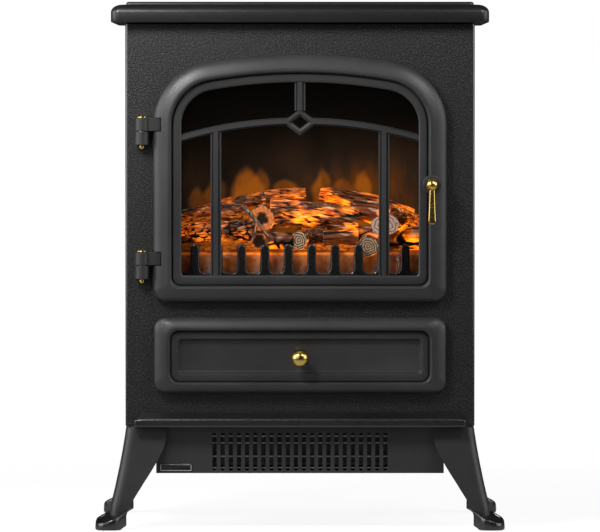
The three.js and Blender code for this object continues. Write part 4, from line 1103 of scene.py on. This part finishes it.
def log_mesh(name, coat, start, end, radii, bow, seed, flat=1.0):
    """A moulded log: cracked bark round its length and a slightly dished cut at each end."""
    start, end = Vector(start), Vector(end)
    length = (end - start).length
    along = (end - start).normalized()
    side = Vector((0, 0, 1)).cross(along).normalized()
    up = along.cross(side)
    radius = max(radii)
    turns = max(int(TAU * radius / 0.55), 40)
    steps = max(int(length / 0.7), 16)
    depth, level, plate_length, plate_width, long_cracks = COATS[coat][1:]
    points, grain, relief, shine = [], [], [], []

    def put(t, swell, angle, cut):
        middle = start.lerp(end, t) + Vector((0, 0, bow * math.sin(math.pi * t)))
        base = lerp(radii[0], radii[1], t)
        u, v = math.cos(angle), math.sin(angle)
        lumps = noise.noise(Vector((t * length / 26 + seed, u * 1.1, v * 1.1)))
        place = Vector((t * length / plate_length + seed, u * base / plate_width, v * base / plate_width))
        bend = noise.noise(place * 0.6) * 0.8
        near, next_near = noise.voronoi(place + Vector((bend, bend, 0)))[0][:2]
        cells = smoothstep(0.0, 0.34, next_near - near)
        fibre = noise.noise(Vector((place.x * 0.7, place.y * 1.2, place.z * 1.2)))
        streaks = smoothstep(0.0, 0.22, abs(fibre))
        furrow = noise.noise(place * 1.7)
        height = 0.72 * lerp(cells, streaks, long_cracks) + 0.28 * (0.5 + furrow)
        reach = swell * (base * (1 + 0.17 * lumps) - radius * depth * (1 - height))
        spot = middle + side * u * reach + up * v * reach * flat
        points.append(spot * MM)
        grain.append((t * length * MM, reach * u * MM, reach * v * MM))
        relief.append(height)
        low_side = 0.85 - 0.30 * (up * v + side * u).z
        shine.append(level * low_side * (0 if cut else 1))

    dish = (0.0, 0.2, 0.4, 0.6, 0.8, 0.94)
    rows = [(0, swell, 1) for swell in dish]
    rows += [(i / steps, 1.0, 0) for i in range(steps + 1)]
    rows += [(1, swell, 1) for swell in reversed(dish)]
    for t, swell, cut in rows:
        for j in range(turns):
            put(t, swell, TAU * j / turns, cut)
    faces, marks = [], []
    for i in range(len(rows) - 1):
        for j in range(turns):
            k = (j + 1) % turns
            faces.append((i * turns + j, i * turns + k, (i + 1) * turns + k, (i + 1) * turns + j))
            marks.append(1 if rows[i][2] or rows[i + 1][2] else 0)
    mesh = bpy.data.meshes.new(name)
    mesh.from_pydata(points, [], faces)
    mesh.polygons.foreach_set("material_index", marks)
    vectors = mesh.attributes.new("grain", "FLOAT_VECTOR", "POINT")
    vectors.data.foreach_set("vector", [value for row in grain for value in row])
    store(mesh, "relief", relief)
    store(mesh, "shine", shine)
    return tidy(mesh)


CUT_ENDS = {"log_right_end": PALE_GRAIN, "log_knot": KNOT_END, "log_stump": STUMP_END}
for name, (coat, *shape) in LOGS.items():
    skins = [COATS[coat][0], CUT_ENDS.get(name, END_GRAIN)]
    piece(name, log_mesh(name, coat, *shape), skins, "cabinet", STANDS_FOR.get(name, ()), 60)


def flame_screen():
    """Diffusing sheet; its masks say where flames lick up and where smoke glows."""
    columns, rows = 150, 130
    points, flame, smoke = [], [], []
    for i in range(columns + 1):
        for j in range(rows + 1):
            x = lerp(-SCREEN_X, SCREEN_X, i / columns)
            z = lerp(SCREEN_LOW, SCREEN_HIGH, j / rows)
            points.append(Vector((x, SCREEN_Y, z)) * MM)
            heat = 0.0
            for centre, foot, half, height, power in TONGUES:
                sway = 4 * noise.noise(Vector((centre, z / 12, 1.5)))
                rise = (z - foot) / height
                width = half * (1 - 0.45 * max(rise, 0))
                edge = math.hypot((x - centre - sway) / max(width, 1), max(rise, 0))
                heat += power * smoothstep(1.15, 0.55, edge)
            flame.append(heat)
            drift = smoothstep(-60, 70, x) * 0.7 + 0.3
            cloud = 0.5 + 0.5 * noise.noise(Vector((x / 38, 2.2, z / 50)))
            smoke.append(0.66 * drift * cloud * (1 - smoothstep(350, 425, z)) * smoothstep(-134, -110, x))
    mesh = grid_mesh("flame_screen", points, rows + 1, flipped=True)
    store(mesh, "tongues", flame)
    store(mesh, "smoky", smoke)
    return mesh


screen = piece("flame_screen", flame_screen(), flame_picture("flame_picture"), "cabinet",
               ["flame_screen"], 180)
sheet = screen.modifiers.new("thickness", "SOLIDIFY")
sheet.thickness = SCREEN_THICK * MM
sheet.offset = 1

# ---- studio ----


def lamp(name, place, aim, size, power, spread, tint):
    light = bpy.data.lights.new(name, "AREA")
    light.shape = "RECTANGLE"
    light.size, light.size_y = size
    light.energy = power
    light.color = tint
    light.spread = math.radians(spread)
    obj = bpy.data.objects.new(name, light)
    obj.location = place
    obj.rotation_euler = (Vector(aim) - Vector(place)).to_track_quat("-Z", "Y").to_euler()
    bpy.context.scene.collection.objects.link(obj)


def surroundings():
    """White behind the stove, and a faint even light from all around."""
    world = bpy.data.worlds.new("studio")
    world.use_nodes = True
    bpy.context.scene.world = world
    sky = world.node_tree
    sky.nodes.clear()
    ray = sky.nodes.new("ShaderNodeLightPath")
    blend = sky.nodes.new("ShaderNodeMixShader")
    out = sky.nodes.new("ShaderNodeOutputWorld")
    for socket, strength in ((1, SKY_AROUND), (2, SKY_SEEN)):
        background = sky.nodes.new("ShaderNodeBackground")
        background.inputs["Color"].default_value = (1, 1, 1, 1)
        background.inputs["Strength"].default_value = strength
        sky.links.new(background.outputs["Background"], blend.inputs[socket])
    sky.links.new(ray.outputs["Is Camera Ray"], blend.inputs["Fac"])
    sky.links.new(blend.outputs["Shader"], out.inputs["Surface"])


def studio_floor():
    """Pale floor that fades out around the stove."""
    g = Graph("studio_floor")
    g.set(Base_Color=(0.86, 0.86, 0.86, 1), Roughness=0.6, Emission_Color=(1, 1, 1, 1))
    g.set(Emission_Strength=FLOOR_GLOW)
    fade = g.range(*g.from_axis(g.place()), FLOOR_ALPHA, 0.0, *FLOOR_FADE)
    g.join(fade, "Result", g.shader, "Alpha")
    circles = [plan(arc(0, 0, radius, 0, 360 - 360 / 96, 95), -0.4) for radius in (0.5, FLOOR_RADIUS)]
    obj = bpy.data.objects.new("studio_floor", rings_mesh("studio_floor", circles, caps=False))
    bpy.context.scene.collection.objects.link(obj)
    obj.data.materials.append(g.material)


for name, settings in LAMPS.items():
    lamp(name, *settings)
surroundings()
studio_floor()
bpy.context.scene.view_settings.view_transform = "Standard"

# ---- camera ----

view = bpy.data.cameras.new("front_view")
view.lens = LENS
view.sensor_width = SENSOR
view.clip_end = 50
camera = bpy.data.objects.new("front_view", view)
camera.location = CAMERA_PLACE
camera.rotation_euler = (Vector(CAMERA_AIM) - camera.location).to_track_quat("-Z", "Y").to_euler()
bpy.context.scene.collection.objects.link(camera)
bpy.context.scene.camera = camera
